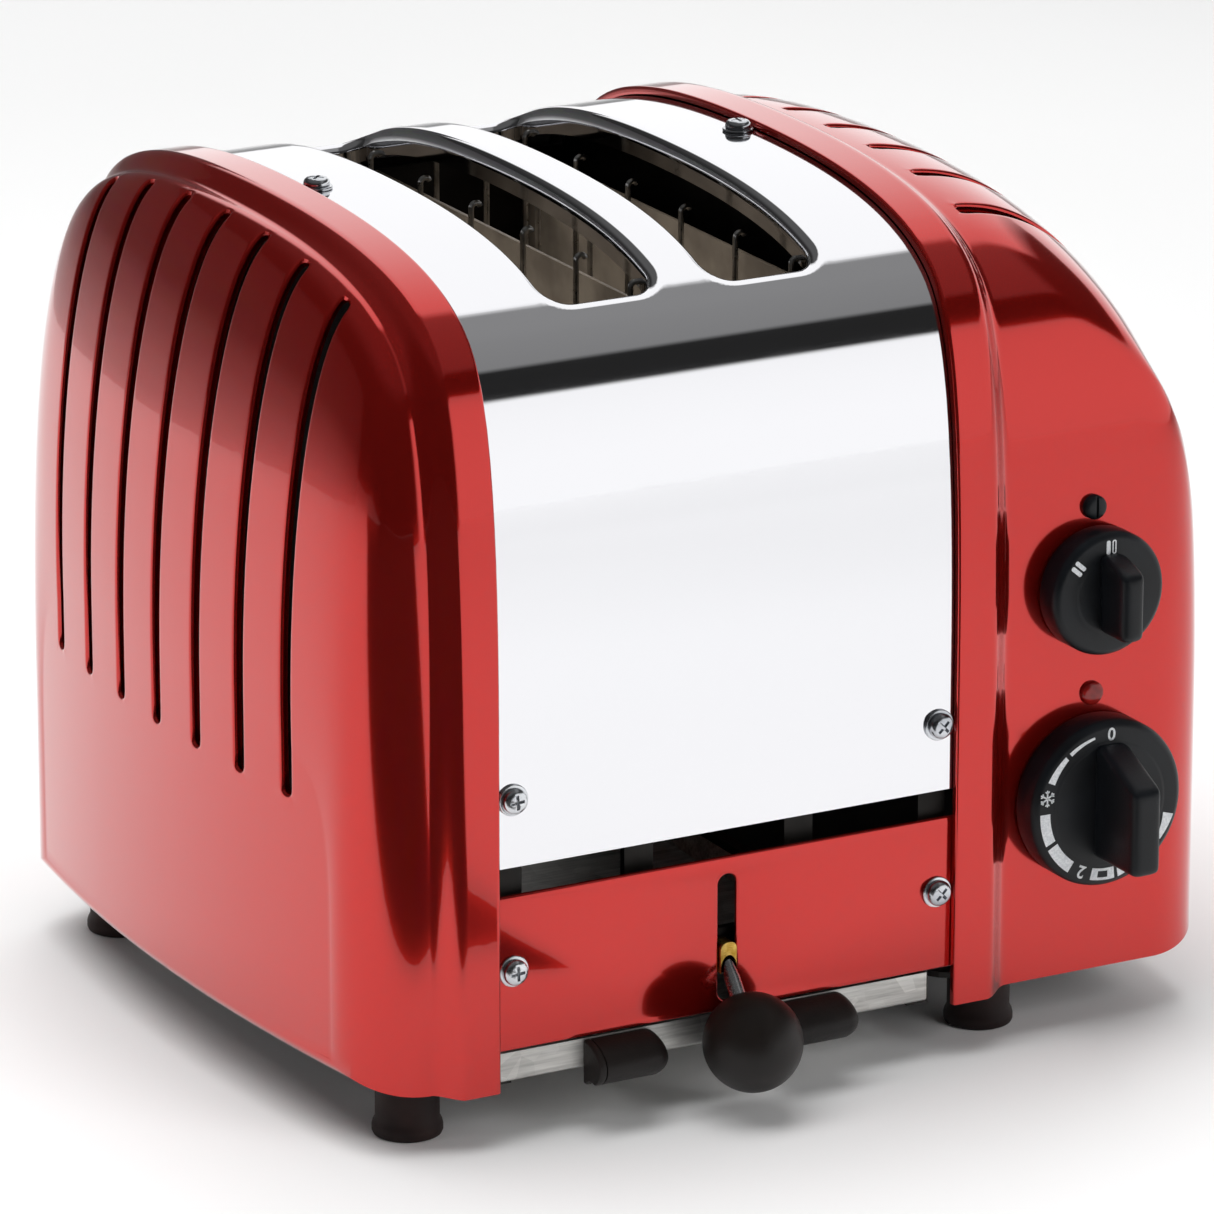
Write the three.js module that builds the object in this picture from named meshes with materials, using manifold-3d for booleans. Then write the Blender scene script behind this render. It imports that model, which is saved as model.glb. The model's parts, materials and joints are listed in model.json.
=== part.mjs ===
// Two-slot toaster with a clockwork timer, a slot selector and a hand-lifted bread carriage.
// Millimetres. +Z up, the front faces -Y, the control end is at +X.
// X = 0 is the middle of the width, Z = 0 is the sole of the feet.

import * as THREE from 'three';
import { mergeVertices } from 'three/addons/utils/BufferGeometryUtils.js';
import Module from 'manifold-3d';

const wasm = await Module();
wasm.setup();

// ---- driving dimensions ----

const overall = { width: 257, depth: 210, height: 220 };
const gap = 0.3;

// The two cast end caps. Distances are measured outwards from each cap's edge at the bread bay.
const capCommon = {
  bandWidth: 10, bandBottom: 14.8, stepEnd: 17, stepDrop: 4, shellBottom: 16, wall: 3,
  lipDepth: 1.8, lipWidth: 8, bottomRound: 4, shoulderBlend: 60, faceTop: 104,
  ventCount: 7, ventPitch: 21.7, ventWidth: 4, ventBottom: 86,
};
const leftCap = {
  ...capCommon, width: 42, crown: 6.5, cornerAlong: 18.5, cornerAcross: 18, fullness: 2, ventStart: 20,
};
const rightCap = {
  ...capCommon, width: 87, crown: 9, cornerAlong: 17, cornerAcross: 12, fullness: 2.2, ventStart: 22,
};
const bayWidth = overall.width - leftCap.width - rightCap.width;

// Arch profile of the caps and the cover, measured from its own half depth and top.
const arch = {
  springing: 111, sideHandle: 62.7, shoulderIn: 16.1, shoulderDown: 16.5,
  shoulderAngle: THREE.MathUtils.degToRad(41), handleBelow: 14, handleAbove: 16.6, domeHandle: 0.476,
};

const cover = { recess: 2.1, sheet: 1, bottom: 71.9, slotLip: 4, slotLipSheet: 1.2 };
const lowerPanel = { bottom: 24.6, top: 64.6, sheet: 1.5, leverSlotWidth: 5.2, leverSlotBottom: 27, leverSlotTop: 60 };
const slot = { width: 32, pitch: 45, length: 164, corner: 6 };
const guard = { wire: 1.5, spread: 26, uprights: 6, rails: 2, bottom: 76, top: 205, hook: 2.5 };
const element = { thickness: 3, bottom: 78, top: 195 };
const sidePlate = { sheet: 1.2, inset: 7, flange: 6, bottom: 30, topDrop: 4.5 };
const crossPlate = { sheet: 1.2, inset: 18, bottom: 66, top: 195 };
const screw = {
  head: 3.3, headHeight: 2.2, shank: 1.8, reach: 7, edge: 4.3, upper: 89.3, lower: 45.3, washer: 4, washerThick: 0.7,
};
const rack = { low: 84, travel: 17, wire: 2, width: 14, length: 150, rungs: 5 };
const lever = {
  ball: 12.5, ballOut: 11, ballZ: 20.3, blockWidth: 4.6, blockHeight: 8, blockZ: 38.5, rod: 2, bar: 39.5,
};
const tray = { bottom: 16.4, top: 24.2, sheet: 0.8, length: 196, width: 121, fromLeft: 0.5 };
const grip = { width: 20.5, height: 11.5, reach: 9, spread: 54 };
const basePlate = { sheet: 1.5, clear: 11, corner: 10 };
const rail = { sheet: 1, width: 6, bottom: 15.2, top: 26 };
const foot = { base: 8.85, waist: 8, top: 16.7, inset: 22.3, leftOut: 14.6, rightOut: 20.6, recess: 4, recessDepth: 6 };
const footScrew = { head: 3.3, headHeight: 2, shank: 1.9 };
const controls = {
  out: 41.3, timerZ: 63.1, selectorZ: 118, lensZ: 89.9, plugZ: 138.6, lens: 3.1, shaft: 3, holeClear: 0.4,
};
const timerKnob = { radius: 21.9, thick: 9, bevel: 1.6, gripWidth: 8.6, gripOut: 19, gripTop: 16.2, gripTopOut: 8.4, gripLow: 13.6 };
const selectorKnob = { radius: 16.1, thick: 8, bevel: 1.4, gripWidth: 6.6, gripOut: 11.8, gripTop: 10.8, gripTopOut: 7.5, gripLow: 9.6 };
const gland = { radius: 6.5, flange: 8.5, flangeThick: 2, out: 6, hole: 3.6, x: 88, z: 40 };

// ---- places worked out from the dimensions ----

const halfDepth = overall.depth / 2;
const bayLeft = -overall.width / 2 + leftCap.width;
const bayRight = bayLeft + bayWidth;
const bayMiddle = (bayLeft + bayRight) / 2;
const trayLeft = bayLeft + tray.fromLeft;
const slotCentres = [bayMiddle - slot.pitch / 2, bayMiddle + slot.pitch / 2];
const controlX = bayRight + controls.out;
const capFaceY = -halfDepth + capCommon.stepDrop;
const coverFaceY = -halfDepth + cover.recess;
const leverFront = halfDepth + lever.ballOut + lever.ball;
const timerFront = -capFaceY + gap + timerKnob.thick + timerKnob.gripOut;
const glandBack = halfDepth - capCommon.stepDrop + gland.out;
const chamberHalf = halfDepth - crossPlate.inset - crossPlate.sheet / 2 - gap;
const depthShift = (Math.max(leverFront, timerFront) - Math.max(glandBack, halfDepth)) / 2;

// ---- material helpers ----

const toaster = new THREE.Group();
toaster.position.y = depthShift;

function finish(color, roughness, metalness) {
  return new THREE.MeshStandardMaterial({ color, roughness, metalness });
}

const redLacquer = () => finish(0xb3261f, 0.18, 0.3);
const polishedSteel = () => finish(0xe6e7e9, 0.08, 1);
const dullSteel = () => finish(0xa9a9a6, 0.45, 1);
const aluminisedSteel = () => finish(0x8f8f8c, 0.5, 0.9);
const zincSteel = () => finish(0xc4c5c8, 0.3, 1);
const mica = () => finish(0x6b5a45, 0.8, 0);
const blackPlastic = () => finish(0x161616, 0.5, 0);
const brass = () => finish(0xb5934a, 0.4, 1);
const rubber = () => finish(0x201715, 0.85, 0);
const redLens = () => finish(0x8a1714, 0.25, 0);
const greyPlastic = () => finish(0x4a4b4d, 0.6, 0);

// ---- geometry helpers ----

function toSolid(geometry) {
  const plain = geometry.clone();
  plain.deleteAttribute('normal');
  plain.deleteAttribute('uv');
  const merged = mergeVertices(plain, 1e-4);
  return new wasm.Manifold(new wasm.Mesh({
    numProp: 3,
    vertProperties: new Float32Array(merged.attributes.position.array),
    triVerts: new Uint32Array(merged.index.array),
  }));
}

function toGeometry(solid) {
  const mesh = solid.getMesh();
  const geometry = new THREE.BufferGeometry();
  geometry.setAttribute('position', new THREE.BufferAttribute(new Float32Array(mesh.vertProperties), 3));
  geometry.setIndex(new THREE.BufferAttribute(new Uint32Array(mesh.triVerts), 1));
  return geometry;
}

function join(...geometries) {
  return toGeometry(geometries.map(toSolid).reduce((a, b) => a.add(b)));
}

function cut(body, ...tools) {
  return toGeometry(tools.map(toSolid).reduce((a, b) => a.subtract(b), toSolid(body)));
}

function addPart(name, geometry, material) {
  const mesh = new THREE.Mesh(geometry, material);
  mesh.name = name;
  toaster.add(mesh);
}

function block(x0, x1, y0, y1, z0, z1) {
  const geometry = new THREE.BoxGeometry(x1 - x0, y1 - y0, z1 - z0);
  return geometry.translate((x0 + x1) / 2, (y0 + y1) / 2, (z0 + z1) / 2);
}

function rod(start, end, radius, sides = 8) {
  const from = new THREE.Vector3(...start);
  const to = new THREE.Vector3(...end);
  const along = to.clone().sub(from);
  const geometry = new THREE.CylinderGeometry(radius, radius, along.length(), sides);
  const turn = new THREE.Quaternion().setFromUnitVectors(new THREE.Vector3(0, 1, 0), along.clone().normalize());
  return geometry.applyQuaternion(turn).translate(...from.add(to).multiplyScalar(0.5).toArray());
}

// A lathe profile of [radius, distance] pairs turned about a line through `base` along `direction`.
function turned(profile, base, direction, segments = 24) {
  const geometry = new THREE.LatheGeometry(profile.map(([r, h]) => new THREE.Vector2(r, h)), segments);
  const turn = new THREE.Quaternion().setFromUnitVectors(new THREE.Vector3(0, 1, 0), new THREE.Vector3(...direction));
  return geometry.applyQuaternion(turn).translate(...base);
}

const alongX = new THREE.Matrix4().set(0, 0, 1, 0, 1, 0, 0, 0, 0, 1, 0, 0, 0, 0, 0, 1);
const alongBack = new THREE.Matrix4().set(1, 0, 0, 0, 0, 0, -1, 0, 0, 1, 0, 0, 0, 0, 0, 1);

// A (y, z) shape swept from x0 to x1.
function sweptAlongX(shape, x0, x1, curveSegments = 6) {
  const geometry = new THREE.ExtrudeGeometry(shape, { depth: x1 - x0, bevelEnabled: false, curveSegments });
  return geometry.applyMatrix4(alongX).translate(x0, 0, 0);
}

// An (x, z) shape swept from y0 to y1.
function sweptAlongY(shape, y0, y1, curveSegments = 6) {
  const geometry = new THREE.ExtrudeGeometry(shape, { depth: y1 - y0, bevelEnabled: false, curveSegments });
  return geometry.applyMatrix4(alongBack).translate(0, y1, 0);
}

// An (x, y) shape swept from z0 to z1.
function sweptAlongZ(shape, z0, z1, curveSegments = 6) {
  const geometry = new THREE.ExtrudeGeometry(shape, { depth: z1 - z0, bevelEnabled: false, curveSegments });
  return geometry.translate(0, 0, z0);
}

function roundedRectangle(cx, cy, width, height, radius) {
  const [x0, x1, y0, y1] = [cx - width / 2, cx + width / 2, cy - height / 2, cy + height / 2];
  const shape = new THREE.Shape();
  shape.moveTo(x0 + radius, y0);
  shape.lineTo(x1 - radius, y0);
  shape.absarc(x1 - radius, y0 + radius, radius, -Math.PI / 2, 0);
  shape.lineTo(x1, y1 - radius);
  shape.absarc(x1 - radius, y1 - radius, radius, 0, Math.PI / 2);
  shape.lineTo(x0 + radius, y1);
  shape.absarc(x0 + radius, y1 - radius, radius, Math.PI / 2, Math.PI);
  shape.lineTo(x0, y0 + radius);
  shape.absarc(x0 + radius, y0 + radius, radius, Math.PI, 1.5 * Math.PI);
  return shape;
}

// The arch in (y, z): straight sides, tight shoulders and a shallow dome.
function archShape(half, top, bottom) {
  const shoulder = [half - arch.shoulderIn, top - arch.shoulderDown];
  const [c, s] = [Math.cos(arch.shoulderAngle), Math.sin(arch.shoulderAngle)];
  const below = [shoulder[0] + c * arch.handleBelow, shoulder[1] - s * arch.handleBelow];
  const above = [shoulder[0] - c * arch.handleAbove, shoulder[1] + s * arch.handleAbove];
  const spring = top - arch.springing;
  const handle = spring + arch.sideHandle;
  const crown = half * arch.domeHandle;
  const shape = new THREE.Shape();
  shape.moveTo(-half, bottom);
  shape.lineTo(-half, spring);
  shape.bezierCurveTo(-half, handle, -below[0], below[1], -shoulder[0], shoulder[1]);
  shape.bezierCurveTo(-above[0], above[1], -crown, top, 0, top);
  shape.bezierCurveTo(crown, top, above[0], above[1], shoulder[0], shoulder[1]);
  shape.bezierCurveTo(below[0], below[1], half, handle, half, spring);
  shape.lineTo(half, bottom);
  return shape;
}

function archPoints(half, top, bottom, steps) {
  return archShape(half, top, bottom).getPoints(steps);
}

// A closed solid through rings with equal counts; each ring is a list of Vector3.
function loft(rings) {
  const count = rings[0].length;
  const corners = [];
  const triangle = (a, b, c) => corners.push(a, b, c);
  for (let i = 0; i + 1 < rings.length; i += 1) {
    for (let j = 0; j < count; j += 1) {
      const next = (j + 1) % count;
      triangle(rings[i][j], rings[i][next], rings[i + 1][next]);
      triangle(rings[i][j], rings[i + 1][next], rings[i + 1][j]);
    }
  }
  const closeEnd = (ring, flip) => {
    const middle = ring.reduce((sum, p) => sum.add(p), new THREE.Vector3()).divideScalar(count);
    for (let j = 0; j < count; j += 1) {
      const next = (j + 1) % count;
      if (flip) triangle(middle, ring[next], ring[j]);
      else triangle(middle, ring[j], ring[next]);
    }
  };
  closeEnd(rings[0], true);
  closeEnd(rings[rings.length - 1], false);
  return new THREE.BufferGeometry().setFromPoints(corners);
}

// ---- end caps ----

// The arch with points added along its straight bottom, which is curved in plan on a cap.
function capOutline(half, top, bottom, steps) {
  const underside = [0.75, 0.5, 0.25, 0, -0.25, -0.5, -0.75].map((share) => new THREE.Vector2(half * share, bottom));
  return [...archPoints(half, top, bottom, steps), ...underside];
}

// Rings of a cap's shell, from `start` outwards, with every surface moved inwards by `inset`.
function shellRings(cap, side, inset, start, bottom, steps, roundSteps) {
  const edge = side < 0 ? bayLeft : bayRight;
  const place = (points, outwards) => points.map((p, i) => new THREE.Vector3(edge + side * outwards(i), p.x, p.y));
  const outerHalf = halfDepth - cap.stepDrop - inset;
  const outerTop = overall.height - cap.stepDrop - inset;
  const outer = capOutline(outerHalf, outerTop, bottom, steps);
  const rimHalf = outerHalf - cap.cornerAcross;
  const rimBottom = bottom + cap.bottomRound;
  const rim = outer.map((p) => new THREE.Vector2(
    p.x * rimHalf / outerHalf, THREE.MathUtils.mapLinear(p.y, bottom, outerTop, rimBottom, cap.faceTop)));
  // The end face bows outwards in plan and is straight from top to bottom.
  const bowed = (p) => cap.width - inset - cap.crown * (p.x / rimHalf) ** 2;
  // The rounding grows from the corner at the sides to the whole shoulder at the top.
  const upness = outer.map((p) => THREE.MathUtils.smoothstep(p.y, outerTop - cap.shoulderBlend, outerTop));
  const blend = upness.map((u, i) => THREE.MathUtils.lerp(cap.cornerAlong, bowed(rim[i]) - cap.stepEnd, u));
  const power = upness.map((u) => 2 / THREE.MathUtils.lerp(2, cap.fullness, u));
  const rings = [place(outer, () => start)];
  for (let k = 0; k <= roundSteps; k += 1) {
    const angle = (k / roundSteps) * Math.PI / 2;
    const fall = (i) => Math.max(Math.cos(angle), 0) ** power[i];
    const rise = (i) => Math.sin(angle) ** power[i];
    const pulled = outer.map((p, i) => p.clone().lerp(rim[i], 1 - fall(i)));
    rings.push(place(pulled, (i) => bowed(rim[i]) - blend[i] * (1 - rise(i))));
  }
  const middle = new THREE.Vector2(0, (cap.faceTop + rimBottom) / 2);
  for (const scale of [0.75, 0.5, 0.25, 0.02]) {
    const inner = rim.map((p) => middle.clone().lerp(p, scale));
    rings.push(place(inner, (i) => bowed(inner[i])));
  }
  return side > 0 ? rings.map((ring) => ring.reverse()) : rings;
}

function capGeometry(cap, side, extraHoles) {
  const edge = side < 0 ? bayLeft : bayRight;
  const steps = 6;
  const at = (outwards, half, top, bottom) => {
    const ring = capOutline(half, top, bottom, steps).map((p) => new THREE.Vector3(edge + side * outwards, p.x, p.y));
    return side > 0 ? ring.reverse() : ring;
  };
  const eased = [0, 0.3, 0.7].map((t) => {
    const drop = cap.stepDrop * THREE.MathUtils.smoothstep(t, 0, 1);
    const outwards = THREE.MathUtils.lerp(cap.bandWidth, cap.stepEnd, t);
    const bottom = THREE.MathUtils.lerp(cap.bandBottom, cap.shellBottom, t);
    return at(outwards, halfDepth - drop, overall.height - drop, bottom);
  });
  const outer = loft([
    at(0, halfDepth, overall.height, cap.bandBottom),
    ...eased,
    ...shellRings(cap, side, 0, cap.stepEnd, cap.shellBottom, steps, 6),
  ]);
  const below = -20;
  const lip = loft([-1, cap.lipWidth].map((w) => at(w, halfDepth - cap.lipDepth, overall.height - cap.lipDepth, below)));
  const hollow = loft(shellRings(cap, side, cap.wall, cap.lipWidth - 1, below, 4, 4));
  const vents = Array.from({ length: cap.ventCount }, (_, i) => {
    const y = (i - (cap.ventCount - 1) / 2) * cap.ventPitch;
    const xs = [edge + side * cap.ventStart, edge + side * (cap.width + 5)].sort((a, b) => a - b);
    return block(xs[0], xs[1], y - cap.ventWidth / 2, y + cap.ventWidth / 2, cap.ventBottom, overall.height + 5);
  });
  return cut(outer, lip, hollow, ...vents, ...extraHoles);
}

function addEndCaps() {
  addPart('left_end_cap', capGeometry(leftCap, -1, []), redLacquer());
  const through = (z, radius) => rod([controlX, capFaceY - 5, z], [controlX, capFaceY + 10, z], radius, 20);
  const holes = [
    through(controls.timerZ, controls.shaft + controls.holeClear),
    through(controls.selectorZ, controls.shaft + controls.holeClear),
    through(controls.lensZ, controls.lens + gap),
    through(controls.plugZ, controls.lens + gap),
    rod([gland.x, halfDepth - 20, gland.z], [gland.x, halfDepth + 5, gland.z], gland.radius + gap, 24),
  ];
  addPart('right_end_cap', capGeometry(rightCap, 1, holes), redLacquer());
}

// ---- steel cover and lower panels ----

function archBand(x0, x1, drop, sheet, bottom, steps = 7) {
  const outer = archShape(halfDepth - drop, overall.height - drop, bottom);
  const inner = archShape(halfDepth - drop - sheet, overall.height - drop - sheet, bottom - 10);
  return cut(sweptAlongX(outer, x0, x1, steps), sweptAlongX(inner, x0 - 5, x1 + 5, steps));
}

function screwPlaces() {
  const xs = [bayLeft + screw.edge, bayRight - screw.edge];
  const places = [];
  for (const [face, side] of [['front', -1], ['back', 1]]) {
    for (const [level, z] of [['upper', screw.upper], ['lower', screw.lower]]) {
      for (const [end, x] of [['left', xs[0]], ['right', xs[1]]]) {
        places.push({ name: `screw_${face}_${level}_${end}`, base: [x, side * (halfDepth - cover.recess), z], direction: [0, side, 0] });
      }
    }
  }
  for (const [end, x] of [['left', xs[0]], ['right', xs[1]]]) {
    places.push({ name: `screw_top_${end}`, base: [x, 0, overall.height - cover.recess], direction: [0, 0, 1] });
  }
  return places;
}

function screwHoles() {
  return screwPlaces().map(({ base, direction }) => {
    const middle = new THREE.Vector3(...base);
    const along = new THREE.Vector3(...direction).multiplyScalar(screw.reach + 2);
    return rod(middle.clone().sub(along).toArray(), middle.add(along).toArray(), screw.shank + gap, 12);
  });
}

function addCover() {
  const edgeIn = leftCap.lipWidth - 1;
  const [x0, x1] = [bayLeft - edgeIn, bayRight + edgeIn];
  const shell = archBand(x0, x1, cover.recess, cover.sheet, cover.bottom, 8);
  const under = overall.height - cover.recess - cover.sheet;
  const inside = { half: halfDepth - cover.recess - gap, top: overall.height - cover.recess - 0.2 };
  const lips = slotCentres.map((x) => {
    const outline = roundedRectangle(x, 0, slot.width, slot.length, slot.corner);
    const skirt = sweptAlongZ(outline, 150, under + 5, 4);
    const domeTop = sweptAlongX(archShape(inside.half, inside.top, 100), x - slot.width, x + slot.width, 8);
    const domeLow = sweptAlongX(
      archShape(inside.half - 2, inside.top - cover.slotLip, 90), x - slot.width - 1, x + slot.width + 1, 8);
    return toSolid(skirt).intersect(toSolid(domeTop)).subtract(toSolid(domeLow));
  });
  const openings = slotCentres.map((x) => {
    const inner = slot.width - 2 * cover.slotLipSheet;
    const outline = roundedRectangle(x, 0, inner, slot.length - 2 * cover.slotLipSheet, slot.corner - 1);
    return toSolid(sweptAlongZ(outline, 100, overall.height + 10, 4));
  });
  let solid = lips.reduce((a, b) => a.add(b), toSolid(shell));
  solid = openings.reduce((a, b) => a.subtract(b), solid);
  solid = screwHoles().map(toSolid).reduce((a, b) => a.subtract(b), solid);
  addPart('steel_cover', toGeometry(solid), polishedSteel());
}

function lowerPanelBlank(side) {
  const edgeIn = leftCap.lipWidth - 1;
  const outer = side * (halfDepth - cover.recess);
  const inner = side * (halfDepth - cover.recess - lowerPanel.sheet);
  const ys = [outer, inner].sort((a, b) => a - b);
  return block(bayLeft - edgeIn, bayRight + edgeIn, ys[0], ys[1], lowerPanel.bottom, lowerPanel.top);
}

function addLowerPanels() {
  const slotHeight = lowerPanel.leverSlotTop - lowerPanel.leverSlotBottom;
  const middle = (lowerPanel.leverSlotTop + lowerPanel.leverSlotBottom) / 2;
  const outline = roundedRectangle(bayMiddle, middle, lowerPanel.leverSlotWidth, slotHeight, lowerPanel.leverSlotWidth / 2 - 0.01);
  const leverSlot = sweptAlongY(outline, -halfDepth - 5, -halfDepth + 10, 4);
  addPart('front_lower_panel', cut(lowerPanelBlank(-1), leverSlot, ...screwHoles()), redLacquer());
  addPart('back_lower_panel', cut(lowerPanelBlank(1), ...screwHoles()), redLacquer());
}

function addScrews() {
  const { head, headHeight, shank, reach, washer, washerThick } = screw;
  const profile = [
    [0, -reach], [shank, -reach], [shank, gap], [washer, gap], [washer, washerThick],
    [head, washerThick], [head, washerThick + headHeight * 0.5],
    [head * 0.75, washerThick + headHeight * 0.9], [0, washerThick + headHeight],
  ];
  for (const { name, base, direction } of screwPlaces()) {
    addPart(name, turned(profile, base, direction, 8), zincSteel());
  }
}

// ---- chassis ----

function addSidePlates() {
  const innerDrop = cover.recess + cover.sheet + gap;
  const outline = archShape(halfDepth - innerDrop - lowerPanel.sheet, overall.height - innerDrop - 0.5, sidePlate.bottom);
  const inner = archShape(
    halfDepth - innerDrop - lowerPanel.sheet - sidePlate.sheet,
    overall.height - innerDrop - 0.5 - sidePlate.sheet, sidePlate.bottom - 5);
  for (const [name, edge, side] of [['left_side_plate', bayLeft, 1], ['right_side_plate', bayRight, -1]]) {
    const [a, b] = [edge + side * sidePlate.inset, edge + side * (sidePlate.inset + sidePlate.sheet)].sort((m, n) => m - n);
    const plate = sweptAlongX(outline, a, b, 6);
    const [fa, fb] = [edge + side * 0.6, edge + side * (sidePlate.inset + 0.1)].sort((m, n) => m - n);
    const flange = cut(sweptAlongX(outline, fa, fb, 6), sweptAlongX(inner, fa - 2, fb + 2, 6));
    addPart(name, cut(join(plate, flange), ...screwHoles()), aluminisedSteel());
  }
}

function plateXs() {
  const clear = sidePlate.inset + sidePlate.sheet + gap;
  return [bayLeft + clear, bayRight - clear];
}

function addCrossPlates() {
  const [x0, x1] = plateXs();
  const arms = slotCentres.map((x) => {
    const half = rack.wire / 2 + 1.2;
    return block(x - half, x + half, -halfDepth, 0, rack.low - 6, rack.low + rack.travel + 8);
  });
  for (const [name, side] of [['front_cross_plate', -1], ['back_cross_plate', 1]]) {
    const y = side * (halfDepth - crossPlate.inset);
    const plate = block(x0, x1, y - crossPlate.sheet / 2, y + crossPlate.sheet / 2, crossPlate.bottom, crossPlate.top);
    addPart(name, side < 0 ? cut(plate, ...arms) : plate, aluminisedSteel());
  }
}

function addElements() {
  const xs = [bayMiddle - slot.pitch, bayMiddle, bayMiddle + slot.pitch];
  ['left', 'centre', 'right'].forEach((where, i) => {
    const board = block(
      xs[i] - element.thickness / 2, xs[i] + element.thickness / 2,
      -chamberHalf, chamberHalf, element.bottom, element.top);
    addPart(`heating_element_${where}`, board, mica());
  });
}

function guardGeometry(x, side) {
  const radius = guard.wire / 2;
  const half = slot.length / 2 - 12;
  const pieces = [];
  for (let i = 0; i < guard.uprights; i += 1) {
    const y = THREE.MathUtils.lerp(-half, half, i / (guard.uprights - 1));
    pieces.push(rod([x, y, guard.bottom], [x, y, guard.top], radius, 4));
  }
  const railX = x + side * radius * 1.2;
  for (let i = 0; i < guard.rails; i += 1) {
    const z = THREE.MathUtils.lerp(guard.bottom + 12, guard.top - 12, i / (guard.rails - 1));
    pieces.push(rod([railX, -chamberHalf, z], [railX, chamberHalf, z], radius, 4));
  }
  return join(...pieces);
}

function addGuards() {
  slotCentres.forEach((x, i) => {
    addPart(`guard_wires_${i + 1}_left`, guardGeometry(x - guard.spread / 2, -1), dullSteel());
    addPart(`guard_wires_${i + 1}_right`, guardGeometry(x + guard.spread / 2, 1), dullSteel());
  });
}

function addBasePlates() {
  const { sheet, clear, corner } = basePlate;
  const low = foot.top + gap;
  const y = halfDepth - clear;
  const ends = [
    ['left_base_plate', bayLeft - leftCap.width + leftCap.crown + clear, bayLeft - 1],
    ['right_base_plate', bayRight + 1, bayRight + rightCap.width - rightCap.crown - clear],
  ];
  for (const [name, x0, x1] of ends) {
    const holes = footPlaces().map(([x, fy]) => rod([x, fy, 0], [x, fy, 40], footScrew.shank + gap, 12));
    const outline = roundedRectangle((x0 + x1) / 2, 0, x1 - x0, 2 * y, corner);
    addPart(name, cut(sweptAlongZ(outline, low, low + sheet, 3), ...holes), aluminisedSteel());
  }
}

// ---- feet ----

function footPlaces() {
  const xs = [bayLeft - foot.leftOut, bayRight + foot.rightOut];
  const y = halfDepth - foot.inset;
  return xs.flatMap((x) => [[x, -y], [x, y]]);
}

function addFeet() {
  const names = ['front_left', 'back_left', 'front_right', 'back_right'];
  const { base, waist, top, recess, recessDepth } = foot;
  const bore = footScrew.shank + gap;
  const profile = [
    [bore, recessDepth], [recess, recessDepth], [recess, 0], [base, 0], [base, 2],
    [waist, 4], [waist, top], [bore, top], [bore, recessDepth],
  ];
  const bolt = [
    [0, recessDepth - footScrew.headHeight - gap], [footScrew.head, recessDepth - footScrew.headHeight - gap],
    [footScrew.head, recessDepth - gap], [footScrew.shank, recessDepth - gap], [footScrew.shank, top + 6], [0, top + 6],
  ];
  footPlaces().forEach(([x, y], i) => {
    addPart(`foot_${names[i]}`, turned(profile, [x, y, 0], [0, 0, 1], 16), rubber());
    addPart(`foot_screw_${names[i]}`, turned(bolt, [x, y, 0], [0, 0, 1], 8), zincSteel());
  });
}

// ---- bread carriage and lever ----

function rackGeometry(x) {
  const radius = rack.wire / 2;
  const z = rack.low;
  const half = rack.length / 2;
  const front = -halfDepth + cover.recess + lowerPanel.sheet + 7;
  const pieces = [
    rod([x - rack.width / 2, -half, z], [x - rack.width / 2, half, z], radius, 5),
    rod([x + rack.width / 2, -half, z], [x + rack.width / 2, half, z], radius, 5),
    rod([x, front, z], [x, half, z], radius, 5),
  ];
  for (let i = 0; i < rack.rungs; i += 1) {
    const y = THREE.MathUtils.lerp(-half + 4, half - 4, i / (rack.rungs - 1));
    pieces.push(rod([x - rack.width / 2 - radius, y, z], [x + rack.width / 2 + radius, y, z], radius, 5));
  }
  return join(...pieces);
}

function addCarriage() {
  slotCentres.forEach((x, i) => addPart(`bread_rack_${i + 1}`, rackGeometry(x), dullSteel()));
  const barFront = -halfDepth + cover.recess + lowerPanel.sheet + 3;
  const barBack = barFront + 2;
  const barHalf = slot.pitch / 2 + 4;
  const lowBar = block(bayMiddle - barHalf, bayMiddle + barHalf, barFront, barBack, lever.bar - 5, lever.bar + 5);
  const posts = slotCentres.map((x) => block(x - 4, x + 4, barFront, barBack, lever.bar - 5, rack.low + 4));
  addPart('carriage_frame', join(lowBar, ...posts), dullSteel());
  const blockFront = -halfDepth + cover.recess - 0.8;
  const half = lever.blockWidth / 2;
  const lowZ = lever.blockZ - lever.blockHeight / 2;
  const face = roundedRectangle(bayMiddle, lowZ + lever.blockHeight / 2, lever.blockWidth, lever.blockHeight, half - 0.05);
  const blockBody = sweptAlongY(face, blockFront, barFront - gap, 4);
  const ballCentre = [bayMiddle, -halfDepth - lever.ballOut, lever.ballZ];
  const rodTop = [bayMiddle, blockFront + 1.5, lever.blockZ - 1];
  const toBall = new THREE.Vector3(...ballCentre).sub(new THREE.Vector3(...rodTop)).normalize();
  const beyond = (start, distance) => new THREE.Vector3(...start).addScaledVector(toBall, distance).toArray();
  const bore = rod(beyond(rodTop, -1.5), beyond(rodTop, 12), lever.rod + 0.15, 12);
  addPart('lever_block', cut(blockBody, bore), brass());
  addPart('lever_rod', rod(beyond(rodTop, -1), beyond(ballCentre, -4), lever.rod, 12), zincSteel());
  const socket = rod(beyond(ballCentre, -16), beyond(ballCentre, -3.5), lever.rod + 0.3, 12);
  const ball = new THREE.SphereGeometry(lever.ball, 20, 12).rotateX(Math.PI / 2).translate(...ballCentre);
  addPart('lever_ball', cut(ball, socket), blackPlastic());
}

// ---- crumb tray ----

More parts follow.
